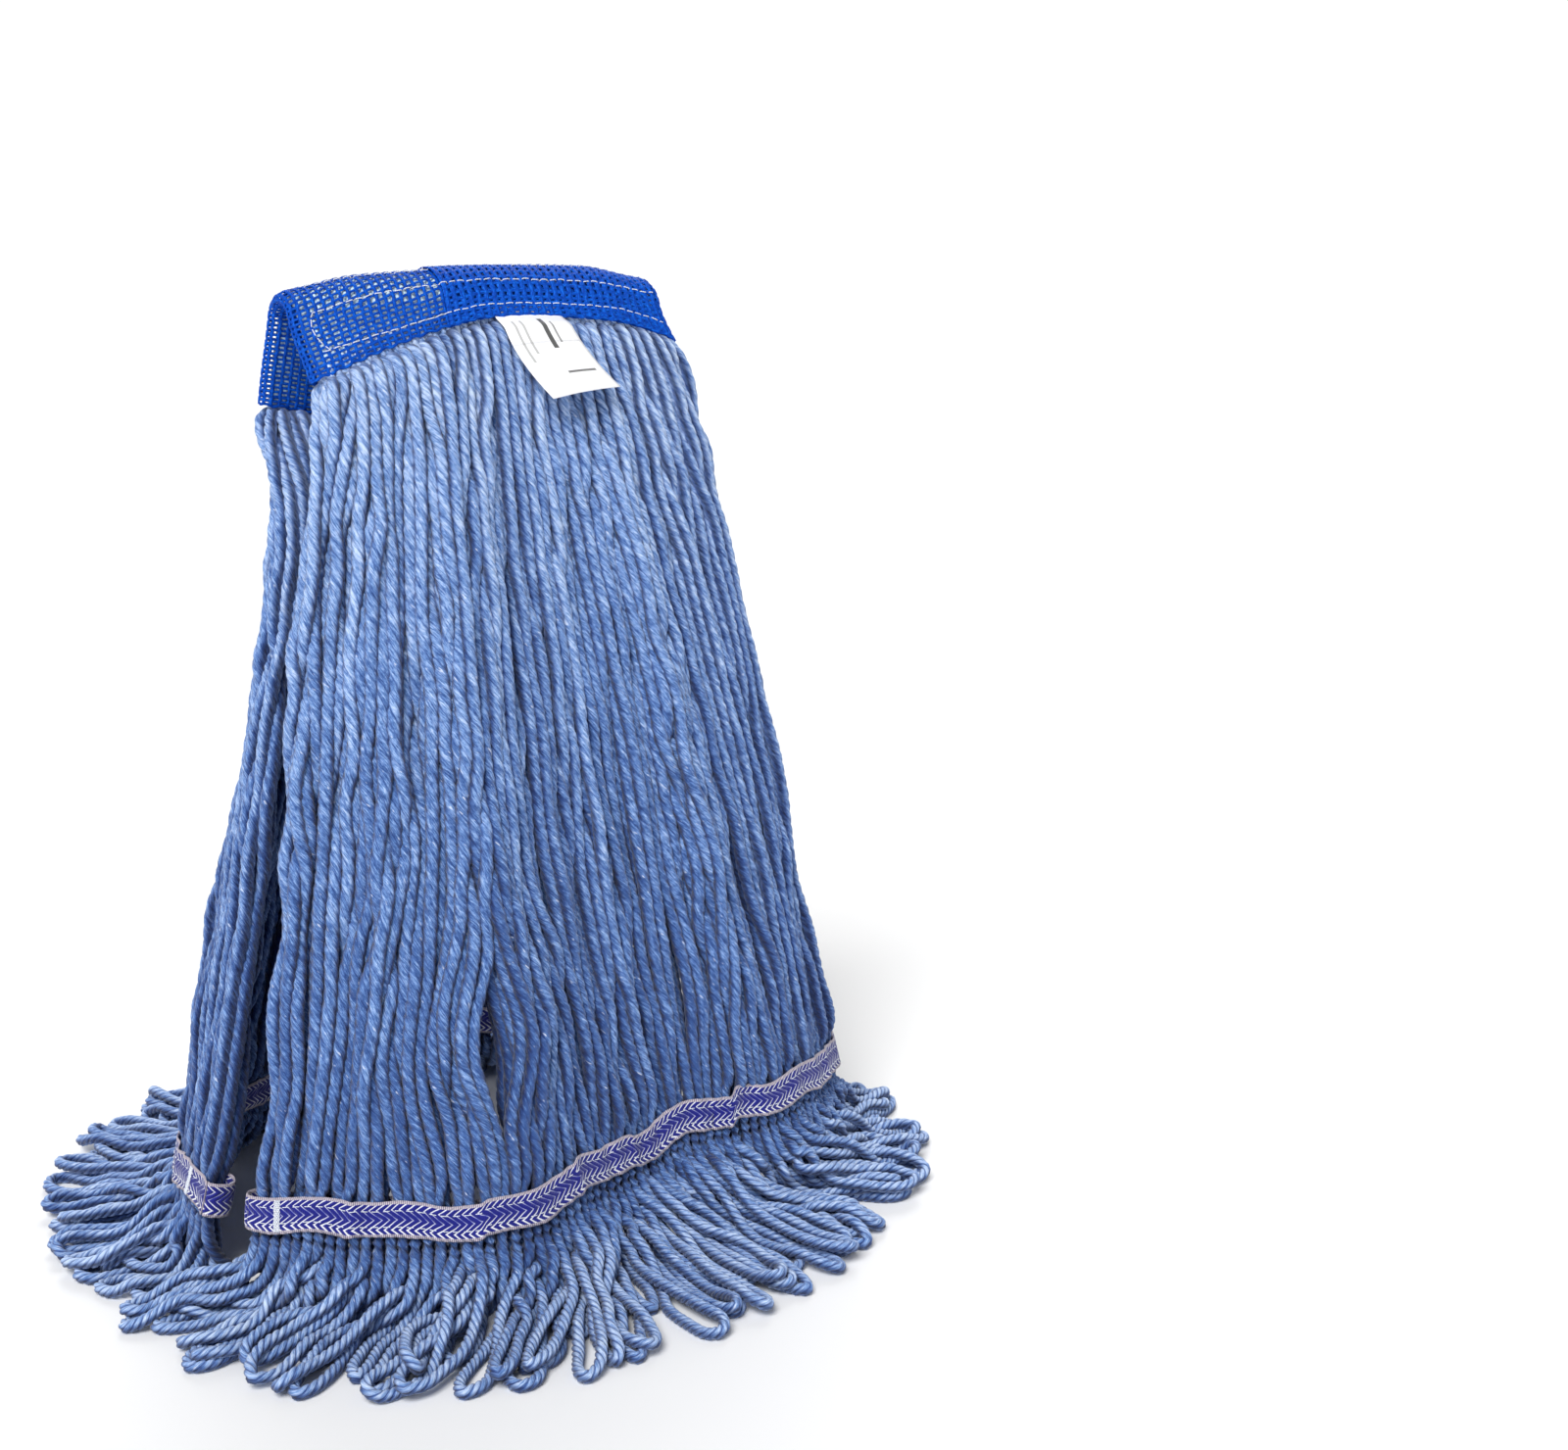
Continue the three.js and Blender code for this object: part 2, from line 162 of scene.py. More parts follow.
def saddle(x, along, out):
    """Points on the folded headband: along from the ridge, front negative, and out from mid-yarn."""
    x, along, out = np.broadcast_arrays(x, along, out)
    side = np.where(along < 0, FRONT, REAR)
    reach = np.abs(along)
    turn = np.minimum(reach / SADDLE_RADIUS, SADDLE_TURN)
    leg = np.maximum(reach - ARC, 0.0)
    radius = SADDLE_RADIUS + out
    y = np.sin(turn) * radius + np.cos(turn) * leg
    z = SADDLE_Z + np.cos(turn) * radius - np.sin(turn) * leg
    across = x / HALF_BAND
    right = np.where(side == FRONT, 9.0, 3.0) * smooth(across)
    left = np.where(side == FRONT, 5.0, -1.0) * smooth(-across)
    flare = (right + left) * smooth(leg / (36 * MM)) * MM
    return np.stack([x + flare, side * y, z - ridge_drop(x)], axis=-1)


def arc_point(arc, share, side, z):
    turn = np.radians(arc["middle"] + arc["turn"] * share)
    x = arc["x"] * MM * np.sin(turn)
    y = side * (arc["back"] + arc["y"] * np.cos(turn)) * MM
    return np.stack(np.broadcast_arrays(x, y, z), axis=-1)


TAIL_BULGE = {FRONT: ([-1.0, -0.62, -0.36, -0.08, 0.15, 0.34, 0.5, 1.0],
                      [-3, 1, 16, -8, -22, -18, -2, 3]),
              REAR: ([-1.0, -0.5, -0.1, 0.4, 1.0], [0, 3, -4, 5, 0])}
FLOOR_BULGE = {FRONT: ([-1.0, -0.8, -0.5, -0.1, 0.3, 0.6, 1.0], [0, 16, 17, 2, -9, -7, 0]),
               REAR: ([-1.0, -0.5, 0.0, 0.5, 1.0], [0, 4, -6, 5, 0])}
TAIL_HEIGHT = {FRONT: ([-1.0, -0.7, -0.4, -0.15, 0.2, 0.55, 1.0], [49, 45, 43, 46, 51, 53, 53]),
               REAR: ([-1.0, -0.5, 0.0, 0.5, 1.0], [44, 48, 50, 46, 45])}


def tail_point(across, side):
    height = eased(across, *TAIL_HEIGHT[side]) + 0.9 * np.sin(17 * across + 3 * side)
    point = arc_point(TAIL_ARC[side], 0.82 * across + 0.18 * across ** 3, side, height * MM)
    point[..., 1] += side * eased(across, *TAIL_BULGE[side]) * MM
    return point


def curtain_top(across, side):
    x = across * YARN_HALF
    return saddle(x, side * band_edge(x, side), 0.0)


def tail_frame(across, side):
    """Point on the tail line, then the ways along the tape, down the yarn and out from the sheet."""
    step = 1e-3
    point = tail_point(across, side)
    along = unit(tail_point(across + step, side) - tail_point(across - step, side))
    down = unit(point - curtain_top(across, side))
    outward = unit(np.cross(along, down)) * side
    down = unit(down - along * (down * along).sum(-1, keepdims=True))
    return point, along, down, outward


# ---- Strands as strings of points ----

def bezier(p0, p1, p2, p3, t):
    """Cubic curves, one to a row, at the shares t."""
    t = t[..., None]
    p0, p1, p2, p3 = (p[:, None, :] for p in (p0, p1, p2, p3))
    return (1 - t) ** 3 * p0 + 3 * (1 - t) ** 2 * t * p1 + 3 * (1 - t) * t ** 2 * p2 + t ** 3 * p3


def wander(strands, t, size, waves):
    """A slow random drift for each strand, zero at both ends of t."""
    drift = np.zeros((strands, t.size))
    for wave in range(1, waves + 1):
        share = np.clip(RNG.normal(0, 1, strands), -1.2, 1.2)[:, None] * size / wave
        drift += share * np.sin(math.pi * wave * t)[None, :]
    return drift


def shared_drift(across, t, size, lumps):
    """A sideways drift that neighbours share, so that strands bunch and leave gaps."""
    drift = np.zeros((across.size, t.size))
    for lump in range(lumps):
        waves, phase = RNG.uniform(6, 26), RNG.uniform(0, 2 * math.pi)
        height = RNG.normal(0, size / math.sqrt(lumps))
        drift += height * np.sin(waves * across + phase)[:, None] * np.sin(math.pi * t)[None, :] ** 1.5
    return drift


WIDEST_PITCH = 7.4 * MM  # how far apart two neighbours of one layer may drift


def close_up(sway, t):
    """Neighbours in one layer lean on each other, so that no gap opens right through the yarn."""
    pitch = (2.5 + 2.4 * t) * MM
    for _ in range(12):
        for start in (0, 1):
            one, two = sway[start:-1:2], sway[start + 1::2]
            pairs = min(len(one), len(two))
            one, two = one[:pairs], two[:pairs]
            too_wide = np.clip(pitch + two - one - WIDEST_PITCH, 0, None) / 2
            one += too_wide
            two -= too_wide


def slit(across, t):
    """Strands lean apart on either side of a slit low in the front curtain."""
    place, reach = -0.37, 0.26
    apart = (across - place) / reach
    lean = np.sign(apart) * np.exp(-apart ** 2)
    return 13 * MM * lean[:, None] * np.exp(-((t - 0.82) / 0.09) ** 2)[None, :]


BAND_POINTS, CURTAIN_POINTS, FRINGE_POINTS = 9, 72, 44
YARN_FROM, YARN_TO = -0.93, 0.965  # the part of the tail arc that holds yarn
TAPE_FROM, TAPE_TO = -0.945, 0.98  # and the part that the tape covers
# How far each curtain's left end leans out, and how soon.
LEFT_LEAN = {FRONT: (9 * MM, 0.5), REAR: (24 * MM, 0.2)}


def on_tail(across):
    return YARN_FROM + (YARN_TO - YARN_FROM) * (across + 1) / 2


def leg_paths(side):
    """Each strand from the ridge down to the tail tape: strands by points by XYZ."""
    strands = 2 * LOOPS
    index = np.arange(strands)
    across = evenly(strands)
    band_layer = (index % 3 - 1.0) * 3.5 * MM
    tail_layer = np.where(index % 2 == 0, 1.0, -1.0) * SHEET_HALF
    x = across * YARN_HALF
    edge = band_edge(x, side) + 2 * MM

    band_layer = band_layer * (1 - 0.78 * end_thinning(x))
    along_band = side * np.linspace(0, 1, BAND_POINTS) * edge[:, None]
    band = saddle(x[:, None], along_band, band_layer[:, None])
    place = on_tail(across) + RNG.normal(0, 0.9 / strands, strands)
    tail, along, down, outward = tail_frame(place, side)
    tail = tail + outward * tail_layer[:, None]
    start, leaving = band[:, -1], unit(band[:, -1] - band[:, -2])
    reach = np.linalg.norm(tail - start, axis=1, keepdims=True)
    t = np.linspace(0, 1, CURTAIN_POINTS + 1)[1:]
    curtain = bezier(start, start + leaving * reach * 0.12, tail - down * reach * 0.3, tail,
                     np.broadcast_to(t, (strands, t.size)))
    loose = (0.35 + 0.9 * t ** 1.5)[None, :]
    sway = wander(strands, t, 2.8 * MM, 7) * loose
    bunching = 1 - 0.85 * smooth(across / 0.35)
    for layer in (0, 1):
        sway[layer::2] += shared_drift(across[layer::2], t, 3.2 * MM, 7) * bunching[layer::2, None]
    depth = wander(strands, t, 3.0 * MM, 6) * loose
    low = smooth((t - 0.3) / 0.4) * (1 - smooth((t - 0.95) / 0.05))
    for wave in range(5, 13):
        sideways, inwards = RNG.normal(0, 0.54 * MM, (2, strands, 1))
        ripple = (np.sin(math.pi * wave * t) * low)[None, :]
        sway += sideways * ripple
        depth += inwards * ripple
    for layer in (0, 1):
        close_up(sway[layer::2], t)
    if side == FRONT:
        sway += slit(on_tail(across), t)
    at_end = smooth((-across - 0.4) / 0.6)[:, None]
    lean, soon = LEFT_LEAN[side]
    leaning = smooth(t / soon) * (1 - smooth((t - soon / 2) / 0.65))
    sway -= lean * at_end * leaning[None, :]
    curtain += along[:, None] * sway[..., None] + outward[:, None] * depth[..., None]
    return np.concatenate([band, curtain], axis=1)


def fringe_paths(side):
    """Each loop from the tape out along the floor, round its eye and back: loops by points by XYZ."""
    across = evenly(LOOPS)
    point, along, down, outward = tail_frame(on_tail(across), side)
    spread = across + RNG.normal(0, 0.03, LOOPS)
    tip = arc_point(FLOOR_ARC[side], spread, side, 0.0)
    tip[:, 1] += side * eased(spread, *FLOOR_BULGE[side]) * MM
    under = np.arange(LOOPS) % 3 == 0
    short, long = RNG.uniform(0.82, 0.94, LOOPS), RNG.uniform(0.94, 1.01, LOOPS)
    tip[:, :2] *= np.where(under, short, long)[:, None]
    tip[:, 2] = np.where(under, 1.0, RNG.choice([1.0, 2.7, 4.2], LOOPS)) * YARN_RADIUS
    slant = RNG.normal(0, 0.30, LOOPS)
    straight = unit((tip - point) * [1, 1, 0])
    heading = np.stack([straight[:, 0] * np.cos(slant) - straight[:, 1] * np.sin(slant),
                        straight[:, 0] * np.sin(slant) + straight[:, 1] * np.cos(slant),
                        np.zeros(LOOPS)], axis=-1)
    steps = FRINGE_POINTS // 2 + 1
    t = np.broadcast_to(np.linspace(0, 1, steps), (LOOPS, steps))
    lead = down * RNG.uniform(26, 38, LOOPS)[:, None] * MM + outward * 2 * MM
    last = heading * RNG.uniform(32, 50, LOOPS)[:, None] * MM
    middle = bezier(point, point + lead, tip - last, tip, t)

    forward = unit(np.gradient(middle, axis=1))
    beside = unit(np.cross(forward, [0.0, 0.0, 1.0]) * -side)
    off_tape = smooth(t * 1.5)[..., None]
    beside = along[:, None] * (1 - off_tape) + beside * off_tape
    above = unit(np.cross(beside, forward))
    above *= np.sign(above[..., 2:3] + 1e-9)
    half_turns = RNG.choice([0.0, 1.0, -1.0, 2.0], LOOPS, p=[0.3, 0.4, 0.15, 0.15])
    lean = RNG.normal(0, 0.4, LOOPS)[:, None] * smooth(t * 1.4)
    lean = lean + half_turns[:, None] * math.pi * smooth((t - 0.12) / 0.62)
    eye = RNG.uniform(9, 16, LOOPS)[:, None] * MM
    narrow = 6 * MM
    gap = narrow + (eye - narrow) * smooth((t - 0.5) / 0.32)
    round_end = np.clip((t - 0.88) / 0.12, 0, 1)
    gap = gap * np.sqrt(1 - round_end ** 2)
    layer = SHEET_HALF * (1 - smooth(t * 2.2))
    apart = beside * (np.cos(lean) * gap / 2)[..., None] + above * (np.sin(lean) * gap / 2)[..., None]
    level = outward[:, None] * layer[..., None]
    going, coming = middle - apart + level, middle + apart - level
    return np.concatenate([going, coming[:, -2::-1]], axis=1)


def lengths(path):
    """Length along a path, or along each of many, up to every point."""
    steps = np.linalg.norm(np.diff(path, axis=-2), axis=-1)
    return np.concatenate([np.zeros(steps.shape[:-1] + (1,)), np.cumsum(steps, axis=-1)], axis=-1)


def points_at(at, length, path):
    """Points of one path where its length is at."""
    return np.stack([np.interp(at, length, values) for values in path.T], axis=-1)


def resample(path, count):
    """The path at count even steps along its length."""
    length = lengths(path)
    return points_at(np.linspace(0, length[-1], count), length, path)


def loop_paths(side):
    """Whole loops: down one leg, round the fringe and up the other leg."""
    legs, fringes = leg_paths(side), fringe_paths(side)
    loops = []
    for i in range(LOOPS):
        down, up = legs[2 * i], legs[2 * i + 1]
        fringe = resample(fringes[i], FRINGE_POINTS)
        loops.append(np.concatenate([down, fringe[1:-1], up[::-1]]))
    return np.array(loops)


LEG_POINTS = BAND_POINTS + CURTAIN_POINTS
TAIL_AT = LEG_POINTS - 1  # index of the point held by the tail tape


def near_pairs(points, reach, group):
    """Pairs of points closer than reach, leaving out near neighbours on one string."""
    cell = np.floor(points / reach).astype(np.int64)
    cell -= cell.min(0) - 1
    span = cell.max(0) + 3
    key = (cell[:, 0] * span[1] + cell[:, 1]) * span[2] + cell[:, 2]
    order = np.argsort(key, kind="stable")
    ordered = key[order]
    first, second = [], []
    for dx, dy, dz in [(0, 0, 0), (0, 0, 1), (0, 1, -1), (0, 1, 0), (0, 1, 1)] + [
            (1, dy, dz) for dy in (-1, 0, 1) for dz in (-1, 0, 1)]:
        wanted = key + (dx * span[1] + dy) * span[2] + dz
        low = np.searchsorted(ordered, wanted, "left")
        count = np.searchsorted(ordered, wanted, "right") - low
        a = np.repeat(np.arange(len(points)), count)
        start = np.repeat(low - (np.cumsum(count) - count), count)
        b = order[start + np.arange(len(a))]
        keep = a < b if (dx, dy, dz) == (0, 0, 0) else slice(None)
        first.append(a[keep])
        second.append(b[keep])
    a, b = np.concatenate(first), np.concatenate(second)
    same = (group[a] == group[b]) & (np.abs(a - b) < 4)
    close = ((points[a] - points[b]) ** 2).sum(1) < reach ** 2
    keep = close & ~same
    return a[keep], b[keep]


SETTLE_ROUNDS = 140
FALL = 0.05 * MM  # how far the fringe falls in one round
KEEP_PLACE = 0.02  # shares taken back in a round: of a curtain strand's drift,
KEEP_CURVE = 0.16  # of a change in how a strand curves,
KEEP_APART = 0.32  # of an overlap of two strands,
KEEP_EYE = 0.3  # and of a change in the width of a loop's eye


def pull(one, two, want, share):
    """How far one moves towards two, and two towards one, to bring them nearer the distance they want."""
    gap = two - one
    far = np.linalg.norm(gap, axis=-1)
    return gap * ((far - want) / np.maximum(far, 1e-9) * share)[..., None]


def settle(strings, rounds):
    """Lets the loops push each other apart, keep their lengths and lie down on the floor."""
    count, length = strings.shape[:2]
    rest = strings.copy()
    span = np.linalg.norm(np.diff(rest, axis=1), axis=2)
    curve = rest[:, :-2] - 2 * rest[:, 1:-1] + rest[:, 2:]
    index = np.arange(length)
    from_end = np.minimum(index, length - 1 - index)
    held = (from_end < BAND_POINTS + 1) | (np.abs(from_end - TAIL_AT) < 3)
    tip = length // 2
    eyes = [(tip - reach, tip + reach) for reach in range(1, 9)]
    wide = [np.linalg.norm(rest[:, one] - rest[:, two], axis=1) for one, two in eyes]
    loose = (~held).astype(float)[None, :, None]
    in_fringe = (from_end > TAIL_AT + 1).astype(float)[None, :, None]
    group = np.repeat(np.arange(count), length)
    apart = 1.9 * YARN_RADIUS
    now = strings
    for step in range(rounds):
        if step % 8 == 0:
            a, b = near_pairs(now.reshape(-1, 3), apart * 1.35, group)
        now[..., 2:3] -= in_fringe * FALL
        now += (rest - now) * (1 - in_fringe) * KEEP_PLACE
        bend = (now[:, :-2] - 2 * now[:, 1:-1] + now[:, 2:] - curve) * KEEP_CURVE
        now[:, 1:-1] += bend * loose[:, 1:-1]
        now[:, :-2] -= bend / 2 * loose[:, :-2]
        now[:, 2:] -= bend / 2 * loose[:, 2:]
        flat = now.reshape(-1, 3)
        gap = flat[a] - flat[b]
        far = np.linalg.norm(gap, axis=1)
        push = np.clip(apart - far, 0, None)
        hit = push > 0
        move = gap[hit] / np.maximum(far[hit], 1e-9)[:, None] * (push[hit] * KEEP_APART)[:, None]
        shift = np.stack([
            np.bincount(a[hit], move[:, k], len(flat)) - np.bincount(b[hit], move[:, k], len(flat))
            for k in range(3)], axis=-1)
        now += shift.reshape(now.shape) * loose
        for (one, two), want in zip(eyes, wide):
            move = pull(now[:, one], now[:, two], want, KEEP_EYE)
            now[:, one] += move
            now[:, two] -= move
        for start in (0, 1, 0, 1):
            one, two = now[:, start:-1:2], now[:, start + 1::2]
            links = min(one.shape[1], two.shape[1])
            one, two = one[:, :links], two[:, :links]
            move = pull(one, two, span[:, start::2][:, :links], 0.5)
            one += move * loose[:, start:-1:2][:, :links]
            two -= move * loose[:, start + 1::2][:, :links]
        now[..., 2] = np.maximum(now[..., 2], YARN_RADIUS * 0.98)
    return now


def catmull(points, at):
    """Smooth positions between points, at fractional indices."""
    last = points.shape[1] - 1
    i = np.clip(np.floor(at).astype(int), 0, last - 1)
    f = (at - i)[None, :, None]
    p0, p1 = points[:, np.maximum(i - 1, 0)], points[:, i]
    p2, p3 = points[:, i + 1], points[:, np.minimum(i + 2, last)]
    return 0.5 * (2 * p1 + (p2 - p0) * f + (2 * p0 - 5 * p1 + 4 * p2 - p3) * f ** 2
                  + (3 * p1 - p0 - 3 * p2 + p3) * f ** 3)


# ---- Meshes ----

def add_object(name, data):
    """A new object in the scene, made from a mesh, a light or a camera."""
    made = bpy.data.objects.new(name, data)
    bpy.context.scene.collection.objects.link(made)
    return made


def grid_faces(rings, sides, base):
    """Quads of a grid of rings by sides, each ring closed, and the ring and side where each begins."""
    r, s = np.meshgrid(np.arange(rings - 1), np.arange(sides), indexing="ij")
    nxt = (s + 1) % sides
    here, above = r * sides, (r + 1) * sides
    quads = np.stack([here + s, here + nxt, above + nxt, above + s], axis=-1)
    return quads.reshape(-1, 4) + base, r.ravel(), s.ravel()


class Skin:
    """Collects closed tubes of points into one mesh with a UV map and named point values."""

    def __init__(self):
        self.points, self.quads, self.uvs, self.caps, self.values = [], [], [], [], {}
        self.total = 0

    def add(self, grid, around, along, along_first=False, **values):
        """grid is rings by sides by XYZ; the UV map's values run round the sides and along the rings."""
        rings, sides = grid.shape[:2]
        quads, r, s = grid_faces(rings, sides, self.total)
        uv = np.stack([np.stack([around[s + ds], along[r + dr]], axis=-1)
                       for ds, dr in ((0, 0), (1, 0), (1, 1), (0, 1))], axis=1)
        self.points.append(grid.reshape(-1, 3))
        self.quads.append(quads)
        self.uvs.append(uv[..., ::-1] if along_first else uv)
        self.caps.append(np.arange(sides)[::-1] + self.total)
        self.caps.append(np.arange(sides) + self.total + (rings - 1) * sides)
        for name, value in values.items():
            self.values.setdefault(name, []).append(
                np.broadcast_to(np.asarray(value, float), (rings, sides)).ravel())
        self.total += rings * sides

    def build(self, name, material):
        """The mesh as one smooth piece in the scene."""
        points, quads = np.concatenate(self.points), np.concatenate(self.quads)
        corners = np.concatenate([quads.ravel()] + self.caps)
        sizes = np.array([4] * len(quads) + [len(cap) for cap in self.caps])
        starts = np.concatenate([[0], np.cumsum(sizes)[:-1]])
        mesh = bpy.data.meshes.new(name)
        mesh.vertices.add(len(points))
        mesh.vertices.foreach_set("co", points.astype(np.float32).ravel())
        mesh.loops.add(len(corners))
        mesh.loops.foreach_set("vertex_index", corners.astype(np.int32))
        mesh.polygons.add(len(sizes))
        mesh.polygons.foreach_set("loop_start", starts.astype(np.int32))
        layer = mesh.uv_layers.new(name="Along")
        uv = np.zeros((len(corners), 2))
        uv[:quads.size] = np.concatenate(self.uvs).reshape(-1, 2)
        layer.data.foreach_set("uv", uv.astype(np.float32).ravel())
        for key, parts in self.values.items():
            mesh.attributes.new(key, "FLOAT", "POINT").data.foreach_set(
                "value", np.concatenate(parts).astype(np.float32))
        mesh.polygons.foreach_set("use_smooth", np.ones(len(sizes), bool))
        mesh.update(calc_edges=True)
        mesh.validate()
        mesh.materials.append(material)
        return add_object(name, mesh)


def frames(path, hint):
    """Two normals that don't turn along paths: strands by points by XYZ."""
    tangent = unit(np.gradient(path, axis=1))
    normal = np.empty_like(tangent)
    first = hint - tangent[:, 0] * (hint * tangent[:, 0]).sum(-1, keepdims=True)
    normal[:, 0] = unit(first)
    for i in range(1, path.shape[1]):
        carried = normal[:, i - 1]
        normal[:, i] = unit(carried - tangent[:, i] * (carried * tangent[:, i]).sum(-1, keepdims=True))
    return normal, np.cross(tangent, normal)


def rays(turn, one, two):
    """Directions at the angles turn, from one normal of a path towards its other normal."""
    return np.cos(turn)[..., None] * one[:, None] + np.sin(turn)[..., None] * two[:, None]


# ---- Materials ----

class Shading:
    """A Principled material, and short ways to add its nodes. A colour is red, green and blue."""

    def __init__(self, name, roughness, **sockets):
        self.material = bpy.data.materials.new(name)
        self.material.use_nodes = True
        self.tree = self.material.node_tree
        self.shader = self.tree.nodes["Principled BSDF"]
        self.shader.inputs["Roughness"].default_value = roughness
        for key, value in sockets.items():
            self.shader.inputs[key.replace("_", " ")].default_value = value

    def plug(self, value, socket):
        if isinstance(value, bpy.types.NodeSocket):
            self.tree.links.new(value, socket)
        else:
            socket.default_value = value

    def add(self, kind, inputs, **settings):
        """A new node's first output."""
        node = self.tree.nodes.new("ShaderNode" + kind)
        for key, value in settings.items():
            setattr(node, key, value)
        for key, value in inputs.items():
            self.plug(value, node.inputs[key])
        return node.outputs[0]

    def math(self, operation, a, b=0.0, c=0.0):
        return self.add("Math", {0: a, 1: b, 2: c}, operation=operation)

    def plus(self, a, b, times):
        """a, plus b this many times."""
        return self.math("MULTIPLY_ADD", b, times, a)

    def away(self, value, middle):
        """How far value is from middle, on either side."""
        return self.math("ABSOLUTE", self.math("SUBTRACT", value, middle))

    def within(self, value, low, high):
        return self.math("LESS_THAN", self.away(value, (low + high) / 2), (high - low) / 2)

    def wave(self, value, period):
        return self.math("SINE", self.math("MULTIPLY", value, 2 * math.pi / period))

    def uv(self):
        """The place on the skin, whole and then as its two values."""
        whole = self.add("UVMap", {}, uv_map="Along")
        split = self.tree.nodes.new("ShaderNodeSeparateXYZ")
        self.plug(whole, split.inputs[0])
        return whole, split.outputs[0], split.outputs[1]

    def point_value(self, name):
        node = self.tree.nodes.new("ShaderNodeAttribute")
        node.attribute_name = name
        return node.outputs["Fac"]

    def noise(self, place, stretch, detail=2.0, roughness=0.5):
        scaled = self.add("VectorMath", {0: place, 1: stretch}, operation="MULTIPLY")
        inputs = {"Vector": scaled, "Scale": 1.0, "Detail": detail, "Roughness": roughness}
        return self.add("TexNoise", inputs)

    def mix(self, share, a, b, blend="MIX"):
        node = self.tree.nodes.new("ShaderNodeMix")
        node.data_type, node.blend_type = "RGBA", blend
        for key, value in (("Factor", share), ("A", a), ("B", b)):
            value = (*value, 1.0) if isinstance(value, tuple) else value
            self.plug(value, next(s for s in node.inputs if s.name == key and s.enabled))
        return next(s for s in node.outputs if s.enabled)

    def ramp(self, value, *stops):
        """Colours between stops, each a place and its red, green and blue."""
        node = self.tree.nodes.new("ShaderNodeValToRGB")
        self.plug(value, node.inputs["Fac"])
        band = node.color_ramp
        while len(band.elements) < len(stops):
            band.elements.new(0.5)
        for element, (at, colour) in zip(band.elements, stops):
            element.position, element.color = at, (*colour, 1.0)
        return node.outputs["Color"]

    def finish(self, colour, height=None, distance=0.0, strength=1.0):
        """Gives the shader its colour and a bump of this height, and returns the material."""
        self.plug(colour, self.shader.inputs["Base Color"])
        if height is not None:
            bump = self.add("Bump", {"Height": height, "Distance": distance, "Strength": strength})
            self.plug(bump, self.shader.inputs["Normal"])
        return self.material


def grey(value):
    return value, value, value


def yarn_material():
    """Heathered blue cotton: pale and dark fibres mixed in each ply, painted shade between the plies and on
    the strands' sides, and painted light near and inside the band.
    """
    shade = Shading(
        "blue_heather_yarn", 0.9, Sheen_Weight=0.22, Sheen_Roughness=0.55, Specular_IOR_Level=0.2)
    _, around, along = shade.uv()
    tone = shade.point_value("tone")
    place = shade.add("CombineXYZ", {0: around, 1: along, 2: shade.math("MULTIPLY", tone, 60.0)})
    fibres = shade.noise(place, (7.0, 330.0, 1.0), 4.0, 0.7)
    heather = shade.noise(place, (1.4, 95.0, 1.0), 2.0, 0.6)
    flecks = shade.noise(place, (2.6, 260.0, 1.0), 1.0, 0.6)
    fine = shade.noise(place, (14.0, 900.0, 1.0), 2.0, 0.6)
    ply = shade.math("MODULO", shade.math("FLOOR", around), float(PLIES))
    ply_tone = shade.add("TexWhiteNoise", {"Vector": shade.add("CombineXYZ", {0: ply, 1: tone})},
                         noise_dimensions="3D")
    mixed = shade.plus(shade.math("MULTIPLY", heather, 0.30), fibres, 0.70)
    mixed = shade.plus(mixed, shade.math("SUBTRACT", tone, 0.5), 0.07)
    mixed = shade.plus(mixed, shade.math("SUBTRACT", ply_tone, 0.5), 0.05)
    mixed = shade.plus(-0.17, mixed, 1.35)
    # pale lightens the yarn: painted light near the band and much more inside it, and paler yarn in the
    # fringe.
    mixed = shade.plus(mixed, shade.point_value("pale"), 0.12)
    blue = shade.ramp(mixed, (0.34, (0.030, 0.080, 0.26)), (0.44, (0.080, 0.175, 0.44)),
                      (0.52, (0.160, 0.290, 0.60)), (0.60, (0.30, 0.45, 0.76)),
                      (0.72, (0.56, 0.68, 0.92)), (1.0, (0.70, 0.92, 1.0)))
    white = shade.ramp(flecks, (0.70, grey(0.0)), (0.78, grey(0.75)))
    blue = shade.mix(white, blue, (0.72, 0.78, 0.92))
    # Painted shade in the grooves between the plies, deeper where the yarn is twisted tight in the fringe.
    beside = shade.away(shade.math("FRACT", around), 0.5)
    crest = shade.math("SUBTRACT", 1.0, shade.math("MULTIPLY", beside, 2.0))
    soft = shade.ramp(crest, (0.0, (0.50, 0.56, 0.70)), (0.25, (0.84, 0.87, 0.92)), (0.6, grey(1.0)))
    deep = shade.ramp(crest, (0.0, (0.10, 0.14, 0.28)), (0.22, (0.50, 0.58, 0.74)), (0.55, grey(1.0)))
    groove = shade.mix(shade.point_value("twisted"), soft, deep)
    # Painted shade on the sides of each strand, where it meets its neighbours in the curtain.
    painted_side_shade = shade.ramp(shade.point_value("open_side"),
                        (0.0, (0.015, 0.025, 0.06)), (0.46, (0.30, 0.36, 0.50)), (0.82, grey(1.0)))
    blue = shade.mix(1.0, shade.mix(1.0, blue, groove, "MULTIPLY"), painted_side_shade, "MULTIPLY")
    height = shade.plus(shade.math("MULTIPLY", fine, 0.4), fibres, 0.6)
    return shade.finish(blue, height, 0.0007)


# ---- Yarn ----

LEG_RINGS, LOOP_RINGS = 172, 120


